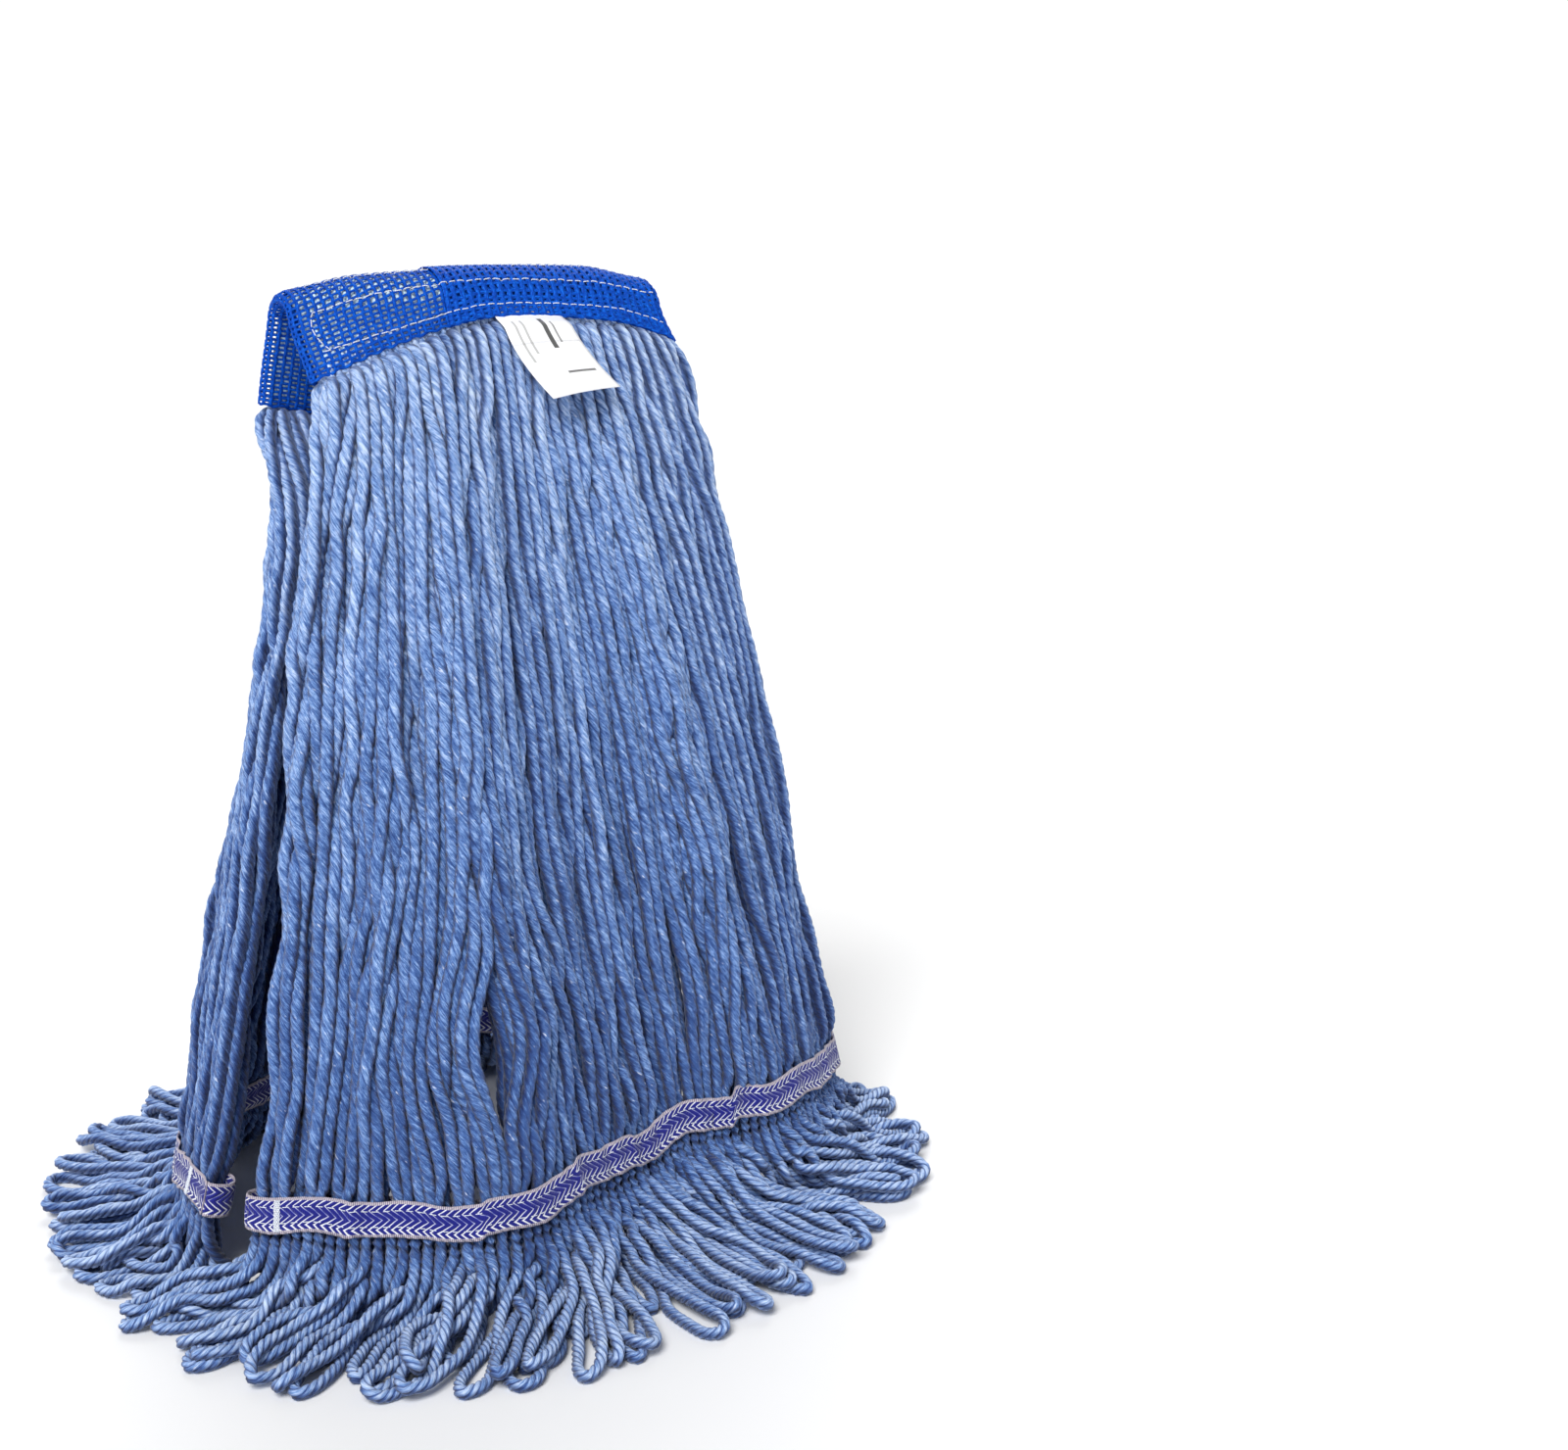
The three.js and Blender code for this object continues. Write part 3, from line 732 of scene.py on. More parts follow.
def build_yarn(strings, side, material):
    """Skins every loop with its twisted plies, the same number of loops to a piece."""
    end = strings.shape[1] - 1
    path = catmull(strings, np.concatenate([
        np.linspace(0, TAIL_AT, LEG_RINGS)[:-1], np.linspace(TAIL_AT, end - TAIL_AT, LOOP_RINGS),
        np.linspace(end - TAIL_AT, end, LEG_RINGS)[1:]]))
    along = lengths(path)
    from_end = np.minimum(along, along[:, -1:] - along)
    leg = from_end[:, LEG_RINGS - 1:LEG_RINGS]
    share = np.clip(from_end / leg, 0, None)
    mid_leg = np.sin(math.pi * np.clip(share, 0, 1))
    twist = TWIST_AT_BAND + (TWIST_AT_MIDDLE - TWIST_AT_BAND) * mid_leg ** 2
    twist = twist + (TWIST_IN_FRINGE - twist) * smooth((share - 0.86) / 0.2)
    twist = twist * RNG.uniform(0.85, 1.2, (LOOPS, 1))
    steps = np.diff(along, axis=1)
    turns = np.cumsum(steps / (0.5 * (twist[:, 1:] + twist[:, :-1])), axis=1)
    turns = np.concatenate([np.zeros((LOOPS, 1)), turns], axis=1)
    phase = -2 * math.pi * turns + RNG.uniform(0, 2 * math.pi, (LOOPS, 1))
    band_share = 1 - smooth((from_end - band_edge(0, side) * 0.8) / (25 * MM))
    tape_share = np.exp(-((share - 1) * 28) ** 2)
    slack = smooth((share - 1.02) / 0.1)
    radius = YARN_RADIUS * (1 - 0.09 * band_share) * (1 - 0.12 * tape_share)
    radius = radius * (1 - 0.08 * slack) * (1 + 0.11 * mid_leg)
    slow = sum(RNG.normal(0, 0.022, (LOOPS, 1)) * np.sin(along * f + RNG.uniform(0, 6, (LOOPS, 1)))
               for f in (60, 130, 210, 330))
    radius = radius * (1 + slow)
    normal, binormal = frames(path, np.array([0.0, -1.0, 0.0]))
    angle = 2 * math.pi * np.arange(SIDES) / SIDES
    tone = RNG.uniform(0, 1, LOOPS)
    # pale is painted light: paler near the band and darker further down, as if lit from above, and much
    # paler inside the band so that the band's holes show bright yarn; the fringe is paler too.
    pale = 1 - 1.9 * np.clip((from_end - 40 * MM) / (360 * MM), 0, 1) ** 0.8 + 1.8 * slack
    inside = band_edge(evenly(LOOPS) * YARN_HALF, side)[:, None]
    in_band = 1 - smooth((from_end - inside + 9 * MM) / (12 * MM))
    pale = pale + 3.5 * in_band
    outward = tail_frame(on_tail(evenly(LOOPS)), side)[3]
    faced = unit(outward[:, None] + slack[..., None] * [0.0, 0.0, 1.6])
    around = np.arange(SIDES + 1) * PLIES / SIDES + 0.5
    per_piece = LOOPS // BUNDLES
    pieces = []
    for bundle in range(BUNDLES):
        skin = Skin()
        for i in range(bundle * per_piece, (bundle + 1) * per_piece):
            depth = np.maximum(slack[i], 0.6 * band_share[i])[:, None]
            reach = radius[i][:, None] * (SHALLOW_PLY + (DEEP_PLY - SHALLOW_PLY) * depth)
            ways = rays(phase[i][:, None] + angle[None, :], normal[i], binormal[i])
            grid = path[i][:, None] + reach[..., None] * ways
            grid[..., 2] = np.maximum(grid[..., 2], 0.1 * MM)
            # How far the skin faces out of the curtain: its sides get painted shade in the material, and
            # the yarn inside the band gets none.
            open_side = np.maximum(np.abs((ways * faced[i][:, None]).sum(-1)), in_band[i][:, None])
            skin.add(grid, around, along[i], tone=tone[i], pale=pale[i][:, None],
                     open_side=open_side, twisted=slack[i][:, None])
        pieces.append(skin.build(f"yarn_{SIDE_NAMES[side]}_{bundle + 1}", material))
    return pieces


def make_yarn():
    """Both curtains' loops, settled together, as pieces."""
    material = yarn_material()
    strings = np.concatenate([loop_paths(FRONT), loop_paths(REAR)])
    strings = settle(strings, SETTLE_ROUNDS)
    for side, loops in ((FRONT, strings[:LOOPS]), (REAR, strings[LOOPS:])):
        name = SIDE_NAMES[side]
        hinge = HINGES[f"{name}_curtain"]
        way = unit(tail_point(0.0, side) - hinge)
        for number, piece in enumerate(build_yarn(loops, side, material), 1):
            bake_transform(piece)
            nodes = [f"{name}_yarn_{number}", f"{name}_fringe_{number}"]
            if number % 2 == 0:
                nodes.append(f"core_yarn_{number // 2}")
            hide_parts(*nodes)


# ---- Headband ----

COLUMN_PITCH = 4.1 * MM  # mesh cells along the tape and across its width
ROW_PITCH = 2.9 * MM
COLUMN_HALF, COLUMN_THICK = 1.02 * MM, 0.40 * MM
ROW_HALF, ROW_THICK = 0.68 * MM, 0.32 * MM
CLOSE_KNIT = 1.48  # the ribs of the outer lap are this much wider
RIB_AROUND = np.arange(7) / 6  # the UV map's value round a rib of six sides
STITCH_POINTS = 3  # points on a rib from one crossing to the next
END_ROUND = 6 * MM  # how far a folded end of the band stands past the flat part
HEM_ROWS = 3  # close rows that make the hem at each edge
HEM_PITCH = 2.2 * MM
LAP_OVER = 2.2 * MM  # how far a lap's rows run on at its two ends
# Where each lap begins and ends along the strip, from its outer end.
LAPS = {"outer_lap": (0.0, 125 * MM), "inner_face": (125 * MM, 332 * MM), "under_lap": (332 * MM, 1.0)}


def tape_section():
    """The tape led round the yarn, from its outer end inwards: X, out and the way it faces."""
    flat_end = HALF_BAND - END_ROUND

    def end_turn(x, start, stop, high, low):
        turns = np.linspace(start, stop, 25)[1:-1]
        reach = np.where(np.sin(turns) > 0, high, low)
        return np.stack([x + END_ROUND * np.cos(turns), reach * np.sin(turns)], axis=-1)

    half = math.pi / 2
    corners = np.concatenate([
        [[BAND_LAP_START, OUTER_LAYER], [flat_end, OUTER_LAYER]],
        end_turn(flat_end, half, -half, OUTER_LAYER, INNER_LAYER),
        [[flat_end, -INNER_LAYER], [-flat_end, -INNER_LAYER]],
        end_turn(-flat_end, -half, -3 * half, INNER_LAYER, INNER_LAYER),
        [[-flat_end, INNER_LAYER], [flat_end - 2 * MM, INNER_LAYER]]])
    length = lengths(corners)
    columns = int(round(length[-1] / COLUMN_PITCH))
    at = np.linspace(0, length[-1], columns * STITCH_POINTS + 1)
    section = points_at(at, length, corners)
    way = unit(np.gradient(section, axis=0))
    facing = np.stack([-way[:, 1], way[:, 0]], axis=-1)
    return at, section, facing


def tape_place(section, facing, share, lift):
    """Points on the mesh tape: share runs from its front edge to its rear edge."""
    flat_x, flat_out = section[..., 0], section[..., 1]
    out = flat_out * (1 - END_CLOSES * end_thinning(flat_x)) + facing[..., 1] * lift
    front, rear = front_edge(flat_x), rear_edge(flat_x)
    return saddle(flat_x + facing[..., 0] * lift, share * (front + rear) - front, out)


def mesh_material():
    """Knitted royal-blue polyester: fine filaments along each rib, in patches of light and dark."""
    shade = Shading("royal_blue_mesh", 0.6, Specular_IOR_Level=0.12)
    fibres = shade.noise(shade.uv()[0], (6.0, 260.0, 1.0), 3.0)
    patches = shade.add("TexNoise", {"Scale": 60.0, "Detail": 2.0})
    mixed = shade.plus(shade.math("MULTIPLY", patches, 0.35), fibres, 0.65)
    blue = shade.ramp(mixed, (0.32, (0.0, 0.022, 0.22)), (0.5, (0.0, 0.066, 0.48)),
                      (0.66, (0.006, 0.165, 0.78)), (0.8, (0.09, 0.34, 0.97)))
    return shade.finish(blue, fibres, 0.0005, 0.8)


def flat_rib(points, outs, half, thick):
    """Rings of a flattened rib along points, wide across outs and thin along it."""
    way = unit(np.gradient(points, axis=0))
    across = unit(np.cross(way, outs))
    up = np.cross(across, way)
    sides = len(RIB_AROUND) - 1
    turn = 2 * math.pi * (np.arange(sides) + 0.5) / sides
    wide, high = across * np.reshape(half, (-1, 1)), up * np.reshape(thick, (-1, 1))
    return points[:, None] + rays(turn, wide, high)


def knit_column(skin, place, face, shares, knit, number):
    """A rib across the tape, at one place along it, swelling and swaying with each stitch."""
    stitch = np.arange(len(shares))
    swing = np.where((stitch // STITCH_POINTS) % 2 == 0, 1, -1)
    sway = swing * np.sin(stitch * math.pi / STITCH_POINTS) ** 2
    path = tape_place(place + np.stack([0.22 * MM * sway, 0 * sway], -1), face, shares, 0.0)
    here = (place[None], face[None], shares)
    outs = unit(tape_place(*here, 1 * MM) - tape_place(*here, 0.0))
    swell = 1 + 0.16 * np.cos(stitch * 2 * math.pi / STITCH_POINTS)
    grid = flat_rib(path, outs, COLUMN_HALF * swell * knit, COLUMN_THICK * (0.7 + 0.3 * swell))
    skin.add(grid, RIB_AROUND * 3, shares * BAND_WIDTH + number * 0.13)


def knit_row(skin, at, section, facing, share, knit, number, edge):
    """A rib along the tape, wider and wavy where it is the tape's edge."""
    stitch = np.arange(len(at))
    ripple = 0.16 * MM * np.cos(stitch * 2 * math.pi / STITCH_POINTS)
    wave = 0.5 * MM * np.cos(stitch * math.pi / STITCH_POINTS) if edge else 0.0
    here = (section, facing, share + wave / BAND_MID_WIDTH)
    path = tape_place(*here, ripple)
    outs = unit(tape_place(*here, ripple + 1 * MM) - path)
    grid = flat_rib(path, outs, ROW_HALF * knit * (1.2 if edge else 1.0), ROW_THICK)
    skin.add(grid, RIB_AROUND * 2, at + number * 0.31)


def make_headband():
    """The mesh tape as knitted columns and the rows that cross them, one piece to each lap."""
    at, section, facing = tape_section()
    rows = int(round(BAND_WIDTH / ROW_PITCH))
    shares = np.linspace(0, 1, rows * STITCH_POINTS + 1)
    hem = 2 * HEM_PITCH / BAND_MID_WIDTH
    row_shares = np.concatenate([np.linspace(0, hem, HEM_ROWS), np.linspace(0, 1, rows + 1)[2:-2],
                                 np.linspace(1 - hem, 1, HEM_ROWS)])
    material = mesh_material()
    columns = np.arange(1, len(at), STITCH_POINTS)
    jitter = RNG.normal(0, 0.12 * MM, len(columns))
    for lap, (low, high) in LAPS.items():
        skin = Skin()
        knit = CLOSE_KNIT if lap == "outer_lap" else 1.0
        for number, i in enumerate(columns):
            if low <= at[i] < high:
                knit_column(skin, section[i] + [jitter[number], 0], facing[i], shares, knit, number)
        part = (at >= low - LAP_OVER) & (at < high + LAP_OVER)
        between = np.zeros(len(row_shares))
        if lap == "outer_lap":
            between[HEM_ROWS:-HEM_ROWS] = 0.5 / rows
        for number, share in enumerate(row_shares + between):
            edge = number in (0, len(row_shares) - 1)
            knit_row(skin, at[part], section[part], facing[part], share, knit, number, edge)
        piece = skin.build(f"headband_{lap}", material)
        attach(piece, "headband")
        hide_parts("headband_tape")


# ---- Thread ----

THREAD_RADIUS = 0.25 * MM
THREAD_STEP = 0.55 * MM  # from one ring of a lockstitch's thread to the next
STITCH_LENGTH = 4.8 * MM


def thread_material():
    """White twisted thread, with faint blue painted shade between its turns."""
    shade = Shading("white_thread", 0.6, Sheen_Weight=0.2, Specular_IOR_Level=0.4)
    _, around, along = shade.uv()
    turns = shade.wave(shade.plus(around, along, 900.0), 1.0)
    colour = shade.ramp(turns, (0.0, (0.62, 0.68, 0.80)), (0.6, (0.93, 0.94, 0.97)))
    return shade.finish(colour, turns, 0.0002, 0.6)


def thread_tube(skin, path, at, radius, sides=6, hint=(0.1, 0.2, 1.0)):
    """A round thread along a path, at its lengths; hint is a way that the path doesn't run."""
    normal, binormal = frames(path[None], np.array(hint))
    turn = 2 * math.pi * np.arange(sides) / sides
    grid = path[:, None] + radius * rays(turn, normal[0], binormal[0])
    skin.add(grid, np.arange(sides + 1) / sides, at)


def outer_surface(x):
    """How far out the band's visible face is."""
    layer = np.where(x > BAND_LAP_START, OUTER_LAYER, INNER_LAYER)
    return layer * (1 - END_CLOSES * end_thinning(x)) + COLUMN_THICK


def stitch_row(skin, x, along):
    """One run of lockstitch over the band's outer face, up at each stitch and down between."""
    length = lengths(saddle(x, along, outer_surface(x)))
    at = np.linspace(0, length[-1], int(length[-1] / THREAD_STEP))
    x, along = np.interp(at, length, x), np.interp(at, length, along)
    beat = at / STITCH_LENGTH + RNG.uniform(0, 1) + 0.15 * np.sin(at * 90)
    lift = 0.2 * MM - 1.5 * MM * np.clip(np.cos(2 * math.pi * beat), 0.0, 1) ** 2
    wobble = np.sin(at * 700 + RNG.uniform(0, 6)) + np.sin(at * 330 + RNG.uniform(0, 6))
    path = saddle(x, along + 0.12 * MM * wobble, outer_surface(x) + lift)
    thread_tube(skin, path, at, THREAD_RADIUS, 8, (0.0, 0.0, 1.0))


STITCH_BOX_X = (-88 * MM, 93 * MM)
BOX_TOP = ([-1.0, -0.7, -0.4, 0.0, 0.6, 1.0], [16, 12.5, 10.6, 9.6, 10.6, 12])
BOX_FOOT = ([-1.0, -0.76, -0.5, 0.0, 0.6, 1.0], [11, 8, 6, 5.2, 5.4, 7])


def make_stitches(material):
    """A box of stitching on each face of the band, and a row on each side of the ridge."""
    x = np.linspace(*STITCH_BOX_X, 60)
    across = x / HALF_BAND
    for side in (FRONT, REAR):
        name = SIDE_NAMES[side]
        edge = band_edge(x, side)
        foot = edge - eased(across, *BOX_FOOT) * MM
        top = eased(across, *BOX_TOP) * MM + (0 if side == FRONT else 8 * MM)
        box = Skin()
        stitch_row(box, x, side * top)
        stitch_row(box, x, side * foot)
        join = np.linspace(0, 1, 12)
        left_end = x[0] - 2.5 * MM * np.sin(math.pi * join) + 3 * MM * join ** 2
        stitch_row(box, left_end, side * (top[0] + (foot[0] - top[0]) * join))
        ridge = Skin()
        stitch_row(ridge, x, side * (1.6 + 0.8 * np.sin(across * 7 + side)) * MM)
        for skin, kind in ((box, "box"), (ridge, "ridge")):
            piece = skin.build(f"{name}_{kind}_stitches", material)
            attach(piece, "headband")
            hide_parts(f"{name}_{kind}_stitch")


# ---- Tail tapes ----

def webbing_material():
    """Herringbone webbing: navy twill on off-white that turns back at each band, in pale selvedges."""
    shade = Shading("herringbone_webbing", 0.75, Sheen_Weight=0.2, Specular_IOR_Level=0.3)
    place, along, wide = shade.uv()
    wobble = shade.add("TexNoise", {"Vector": place, "Scale": 120.0, "Detail": 2.0})
    fold = shade.math("PINGPONG", shade.math("ADD", wide, 0.6 * MM), 4.4 * MM)
    twill = shade.wave(shade.plus(shade.plus(along, fold, 1.35), wobble, 2.0 * MM), 3.5 * MM)
    pale = shade.plus(twill, shade.away(wide, 6.6 * MM), 84.0)
    cloth = shade.ramp(shade.math("MULTIPLY_ADD", pale, 0.25, 0.25),
                       (0.43, (0.003, 0.006, 0.20)), (0.49, (0.05, 0.07, 0.36)), (0.56, (0.76, 0.76, 0.81)))
    rib = shade.wave(along, 0.9 * MM)
    selvedge = shade.ramp(shade.math("MULTIPLY_ADD", rib, 0.4, 0.5),
                          (0.2, (0.20, 0.17, 0.26)), (0.8, (0.62, 0.56, 0.60)))
    reach = shade.plus(shade.away(wide, TAIL_TAPE_WIDTH / 2), wobble, 0.8 * MM)
    colour = shade.mix(shade.math("GREATER_THAN", reach, 7.0 * MM), cloth, selvedge)
    return shade.finish(colour, shade.plus(twill, rib, 0.3), 0.0003, 0.8)


TAPE_THICK = 0.9 * MM
TAPE_STEPS, TAPE_LINES = 420, 15
MID_LINE = TAPE_LINES // 2
HALF_SPAN = 183 * MM  # half the length of one face of a tape
TAPE_WRAP = 3.5 * MM  # how far its folds stand past the two faces
BARTACK_IN = 14 * MM  # from the left end of a tape to its bartack
RUNNING_THREAD, BARTACK_THREAD = 0.2 * MM, 0.26 * MM
TAPE_PHASE = {FRONT: 1.3, REAR: 4.1}
# Each pucker's place across, how far it stands out and how far it steps down or up, in mm.
PUCKERS = {FRONT: [(-0.7, 0.9, 0.8), (-0.42, 1.7, 1.6), (-0.16, 2.2, 2.6), (0.05, 1.2, -1.2),
                   (0.4, 3.4, 4.5)],
           REAR: [(-0.45, 2.0, 3.0), (0.3, 2.5, -3.0)]}


def tape_ring(side):
    """The tail tape's middle surface: steps round the ring by lines across the width."""
    straight = np.linspace(TAPE_FROM, TAPE_TO, TAPE_STEPS)
    turn = np.linspace(0, math.pi, 20)[1:-1]
    fold = TAPE_WRAP * np.sin(turn) / HALF_SPAN
    across = np.concatenate([straight, TAPE_TO + fold, straight[::-1], TAPE_FROM - fold, [TAPE_FROM]])
    face = np.ones(TAPE_STEPS)
    out = np.concatenate([face, np.cos(turn), -face, -np.cos(turn), [0.94]])
    point, _, down, outward = tail_frame(across, side)
    phase = TAPE_PHASE[side]
    ripple = 0.7 * np.sin(62 * across + phase) + 0.5 * np.sin(101 * across + 2 * phase)
    lift = TAIL_TAPE_OUT * out + ripple * 0.5 * MM * np.sign(out) * (np.abs(out) > 0.99)
    climb = np.zeros_like(across)
    for place, height, step in PUCKERS[side]:
        near = (across - place) * HALF_SPAN / MM
        lift = lift + np.where(out > 0.99, np.exp(-(near / 3.2) ** 2) * height * MM, 0)
        climb += step * (smooth(near / 3.0 + 0.5) - smooth(near / 60.0))
    middle = 1.4 * np.sin(13 * across + phase) + 0.8 * np.sin(31 * across + phase * 3) - climb
    width = 1 + 0.03 * np.sin(43 * across + phase)
    lines = np.linspace(-0.5, 0.5, TAPE_LINES)
    scallop = np.sin(88 * across + phase) + 0.7 * np.sin(137 * across + 3 * phase)
    edge_wave = 0.7 * scallop[:, None] * np.abs(lines)[None, :] ** 2 * 4
    curl = 0.55 * (lines[None, :] * 2) ** 3 * np.sin(24 * across + phase * 2)[:, None]
    lifted = lift[:, None] + (edge_wave + curl) * MM * 0.6
    lowered = lines[None, :] * width[:, None] * TAIL_TAPE_WIDTH + middle[:, None] * MM
    grid = point[:, None] + outward[:, None] * lifted[..., None] + down[:, None] * lowered[..., None]
    return grid, outward * np.sign(out + 1e-9)[:, None]


def thick_strip(skin, grid, thickness, along_uv, wide_uv):
    """A strip with rounded edges from its middle surface, steps along it by lines across it."""
    along = unit(np.gradient(grid, axis=0))
    across = unit(np.gradient(grid, axis=1))
    normal = unit(np.cross(along, across))
    lines = np.linspace(0, 1, grid.shape[1])
    share = np.sqrt(np.clip(1 - (np.abs(lines * 2 - 1)) ** 8, 0.12, 1))[None, :, None]
    half = normal * thickness / 2 * share
    rings = np.concatenate([grid + half, (grid - half)[:, ::-1]], axis=1)
    skin.add(rings, np.concatenate([wide_uv, wide_uv[::-1], wide_uv[:1]]), along_uv, along_first=True)


def running_stitches(skin, grid, at, normal, share):
    """A row of stitches along the tape's outer face, at a share of its width."""
    steps = np.arange(6, TAPE_STEPS - 6)
    low = int(share * (TAPE_LINES - 1))
    past = share * (TAPE_LINES - 1) - low
    path = grid[steps, low] * (1 - past) + grid[steps, low + 1] * past
    beat = at[steps] / (5.2 * MM)
    lift = TAPE_THICK / 2 + 0.1 * MM - 0.8 * MM * np.clip(np.cos(2 * math.pi * beat), -0.1, 1)
    path = path + normal[steps] * lift[:, None]
    thread_tube(skin, path, lengths(path), RUNNING_THREAD)


def bartack(skin, grid, normal):
    """Close stitches side by side across the tape."""
    column = int(BARTACK_IN / (2 * HALF_SPAN) * TAPE_STEPS)
    share = np.linspace(0.06, 0.94, 30)
    base = points_at(share * (TAPE_LINES - 1), np.arange(TAPE_LINES), grid[column])
    along = unit(grid[column + 1, MID_LINE] - grid[column, MID_LINE])
    for offset in np.linspace(-1.1, 1.1, 7):
        lean = (offset + share - 0.5 + 0.25 * np.sin(share * 60 + offset * 9)) * MM
        lift = TAPE_THICK / 2 + (0.22 + 0.12 * np.sin(share * 47 + offset * 5)) * MM
        path = base + along * lean[:, None] + normal[column] * lift[:, None]
        thread_tube(skin, path, lengths(path), BARTACK_THREAD)


def make_tail_tapes(material, thread):
    """On each curtain a tape all round its yarn, with two rows of stitches and a bartack."""
    for side in (FRONT, REAR):
        name = SIDE_NAMES[side]
        grid, facing = tape_ring(side)
        at = lengths(grid[:, MID_LINE])
        skin = Skin()
        thick_strip(skin, grid, TAPE_THICK, at, np.linspace(0, TAIL_TAPE_WIDTH, TAPE_LINES))
        piece = skin.build(f"{name}_tail_webbing", material)
        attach(piece, f"{name}_curtain")
        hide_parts(f"{name}_tail_tape")

        stitches = Skin()
        along, wide = np.gradient(grid, axis=0)[:, MID_LINE], np.gradient(grid, axis=1)[:, MID_LINE]
        normal = unit(np.cross(along, wide))
        normal *= np.sign((normal * facing).sum(-1, keepdims=True))
        for share in (0.27, 0.71):
            running_stitches(stitches, grid, at, normal, share)
        bartack(stitches, grid, normal)
        piece = stitches.build(f"{name}_tail_stitches", thread)
        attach(piece, f"{name}_curtain")
        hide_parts(f"{name}_bartack")


# ---- Label ----

LABEL_X = (0.5 * MM, 35.5 * MM)
LABEL_DROP = 49 * MM
LABEL_TUCK = 4 * MM  # how far its top reaches up between the laps of the band
LABEL_OUT = 7.7 * MM  # from the middle of the yarn, at its top
LABEL_THICK = 0.3 * MM
LABEL_ROWS, LABEL_LINES = 40, 25
# Rows where it leaves the headband, where its two pieces meet, and further down where it hangs free.
LABEL_SEWN, LABEL_ROOT, LABEL_FREE = 9, 17, 27
LABEL_PARTS = (
    ("label_root", slice(0, LABEL_ROOT + 1), ("headband", "front_curtain"), LABEL_SEWN, LABEL_ROOT),
    ("label_sheet", slice(LABEL_ROOT, LABEL_ROWS), ("front_curtain", "label"), LABEL_ROOT, LABEL_FREE))
# Left, right, top and foot of each bar in mm, and how pale it is.
LABEL_BARS = ((5, 6.2, 9, 31, 0.5), (9, 10.2, 9, 27, 0.5), (19, 21.4, 8, 25, 0.10),
              (24, 25, 10, 22, 0.3), (17, 31, 37.4, 38.6, 0.2))


def label_material():
    """White woven satin with a few plain grey bars."""
    shade = Shading("white_label", 0.42, Sheen_Weight=0.1, Specular_IOR_Level=0.45)
    place, tall, wide = shade.uv()
    grain = shade.noise(place, (3000.0, 500.0, 1.0))
    colour = shade.ramp(grain, (0.3, (0.84, 0.85, 0.88)), (0.7, (0.93, 0.93, 0.95)))
    for left, right, top, foot, pale in LABEL_BARS:
        inside = shade.within(wide, left * MM, right * MM)
        level = shade.within(tall, top * MM, foot * MM)
        colour = shade.mix(shade.math("MULTIPLY", inside, level), colour, grey(pale))
    return shade.finish(colour, grain, 0.0001, 0.4)


def make_label():
    """The label hangs from under the band's front edge, lies on the yarn and curls a little."""
    down = np.linspace(0, 1, LABEL_ROWS)
    x = np.linspace(*LABEL_X, LABEL_LINES)
    edge = front_edge(x)
    cross = (x - x.mean()) / (x[-1] - x[0]) * 2
    fall = down[:, None] * LABEL_DROP * (1 - 0.055 * cross[None, :])
    rise = 5.6 * smooth((down - 0.07) / 0.2) + 5.5 * down ** 2
    arch = 1.2 * (1 - cross[None, :] ** 2) * smooth(down * 3)[:, None]
    drift = 16 * down ** 1.35 - 2.6 * np.sin(math.pi * down)
    grid = saddle(x[None, :] + 0 * fall, -(edge[None, :] - LABEL_TUCK + fall * 0.94),
                  LABEL_OUT + (rise[:, None] + arch) * MM)
    grid[..., 0] += drift[:, None] * MM
    wide = LABEL_X[1] - LABEL_X[0]
    material = label_material()
    for name, rows, bodies, start, end in LABEL_PARTS:
        skin = Skin()
        at = down[rows] * LABEL_DROP
        thick_strip(skin, grid[rows], LABEL_THICK, at, np.linspace(0, wide, LABEL_LINES))
        piece = skin.build(name, material)
        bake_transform(piece)
        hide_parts("label")


# ---- Stage, light and camera ----

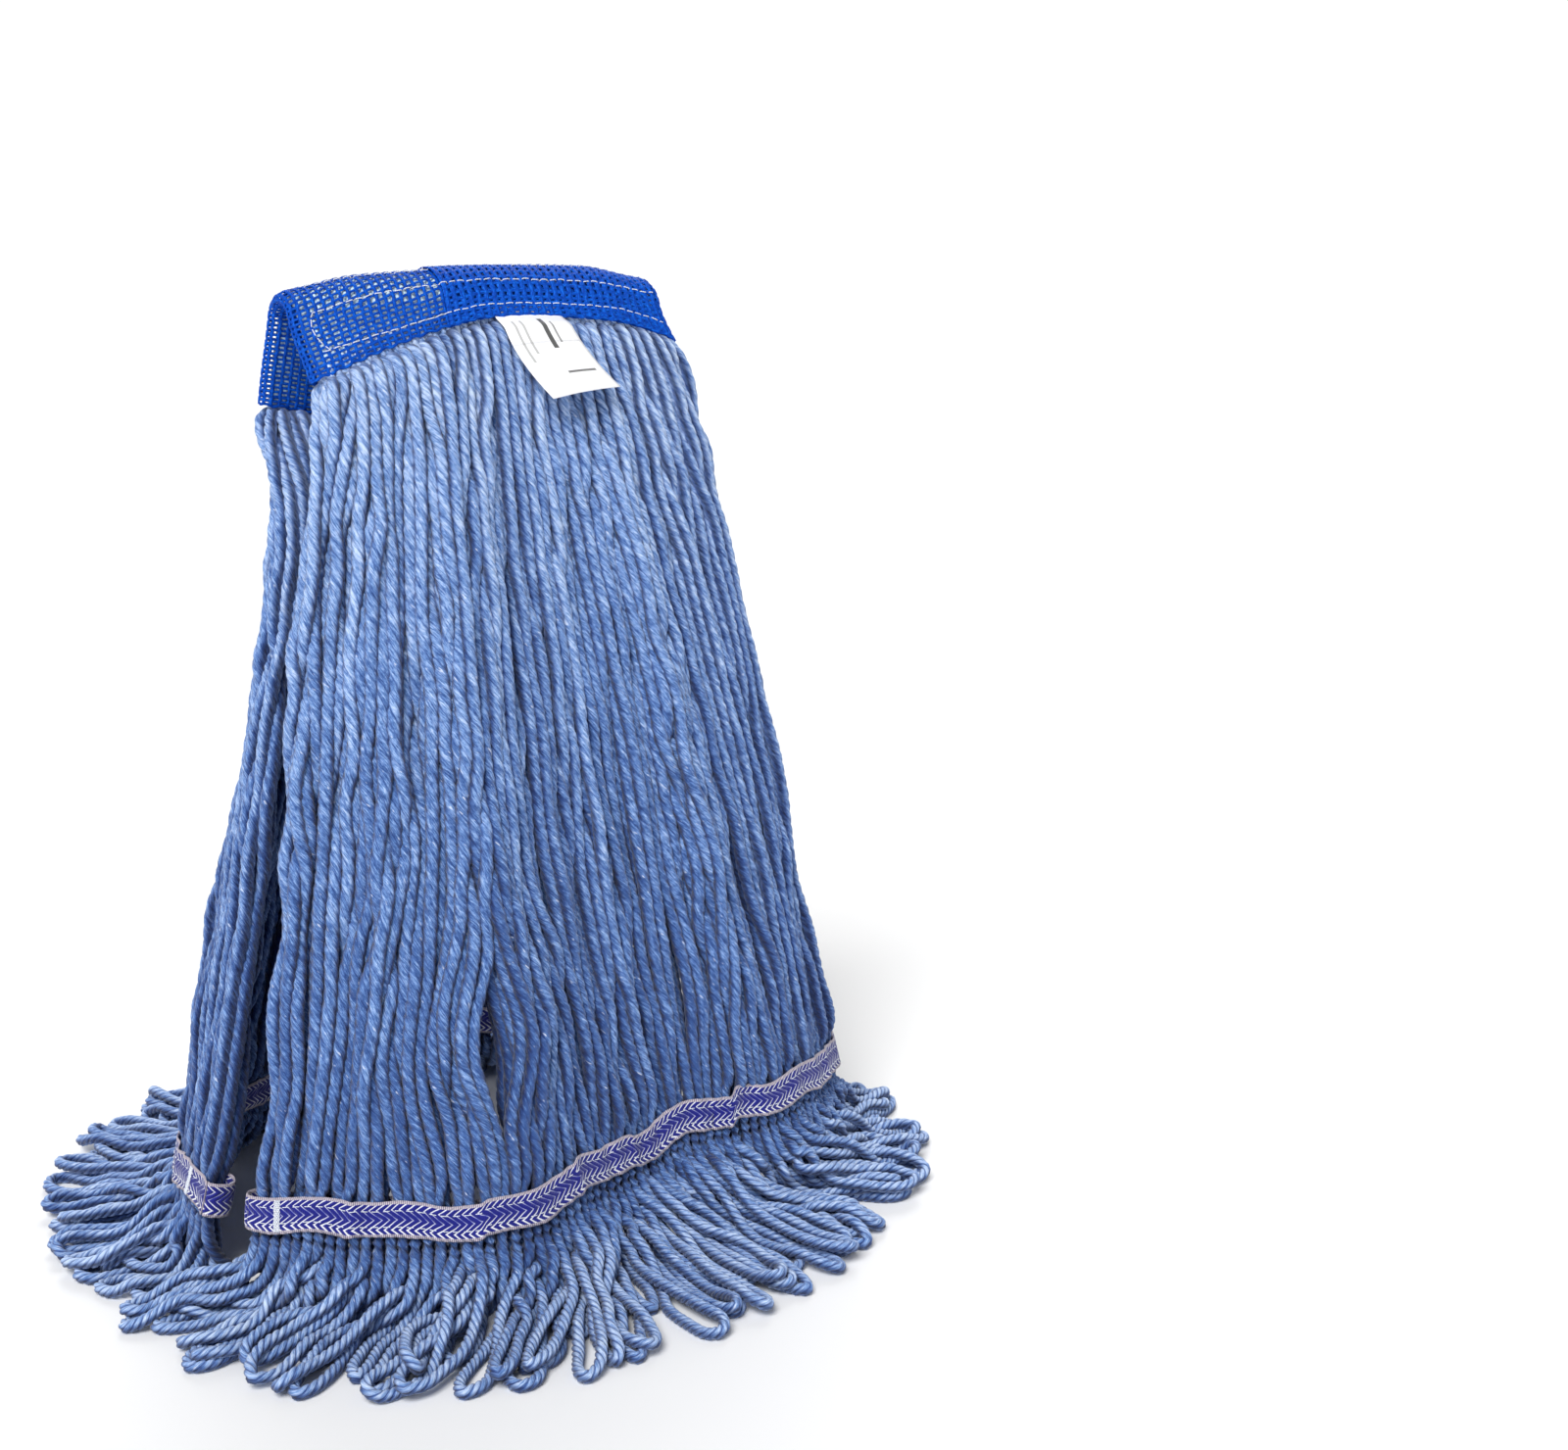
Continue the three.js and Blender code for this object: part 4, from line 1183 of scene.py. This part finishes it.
def make_stage():
    """A pale floor, and a white world whose light is strongest near the horizon."""
    size = 12.0
    mesh = bpy.data.meshes.new("floor")
    corners = [(-size, -size, 0), (size, -size, 0), (size, size, 0), (-size, size, 0)]
    mesh.from_pydata(corners, [], [(0, 1, 2, 3)])
    mesh.update()
    shade = Shading("pale_floor", 0.75, Specular_IOR_Level=0.15)
    spots = shade.add("TexNoise", {"Scale": 3.0, "Detail": 1.0})
    mesh.materials.append(shade.finish(shade.ramp(spots, (0.3, grey(0.90)), (0.7, grey(0.915)))))
    add_object("floor", mesh)
    world = bpy.data.worlds.new("studio")
    bpy.context.scene.world = world
    world.use_nodes = True
    tree = world.node_tree
    background = tree.nodes["Background"]
    background.inputs["Color"].default_value = (1.0, 1.0, 1.0, 1.0)
    coords = tree.nodes.new("ShaderNodeTexCoord")
    height = tree.nodes.new("ShaderNodeSeparateXYZ")
    strength = tree.nodes.new("ShaderNodeMapRange")
    strength.interpolation_type = "SMOOTHSTEP"
    for socket, value in (("From Min", 0.14), ("From Max", 0.40), ("To Min", 1.05), ("To Max", 0.25)):
        strength.inputs[socket].default_value = value
    tree.links.new(coords.outputs["Generated"], height.inputs[0])
    tree.links.new(height.outputs["Z"], strength.inputs["Value"])
    tree.links.new(strength.outputs["Result"], background.inputs["Strength"])


def aimed(way):
    """The turn that points a light or a camera this way, upright."""
    return Vector(way).to_track_quat("-Z", "Y").to_euler()


def soft_sun(name, way, energy, angle):
    data = bpy.data.lights.new(name, "SUN")
    data.energy, data.angle = energy, angle
    add_object(name, data).rotation_euler = aimed(way)


def make_lights():
    """A broad soft light from high on the left, and a weaker one from behind."""
    soft_sun("key", (1.3, 1.1, -1.9), 2.9, 0.5)
    soft_sun("back", (-0.9, -1.4, -1.3), 1.3, 0.7)


def make_camera():
    data = bpy.data.cameras.new("camera")
    data.sensor_fit, data.sensor_width, data.lens = "HORIZONTAL", 36.0, 49.5
    data.clip_start, data.clip_end = 0.05, 20.0
    camera = add_object("camera", data)
    camera.location = (-0.4902, -0.9356, 0.475)
    camera.rotation_euler = aimed((0.5697, 0.7914, -0.2215))
    bpy.context.scene.camera = camera
    bpy.context.scene.view_settings.view_transform = "Standard"


make_camera()
make_stage()
make_lights()
make_yarn()
make_headband()
white_thread = thread_material()
make_stitches(white_thread)
make_tail_tapes(webbing_material(), white_thread)
make_label()
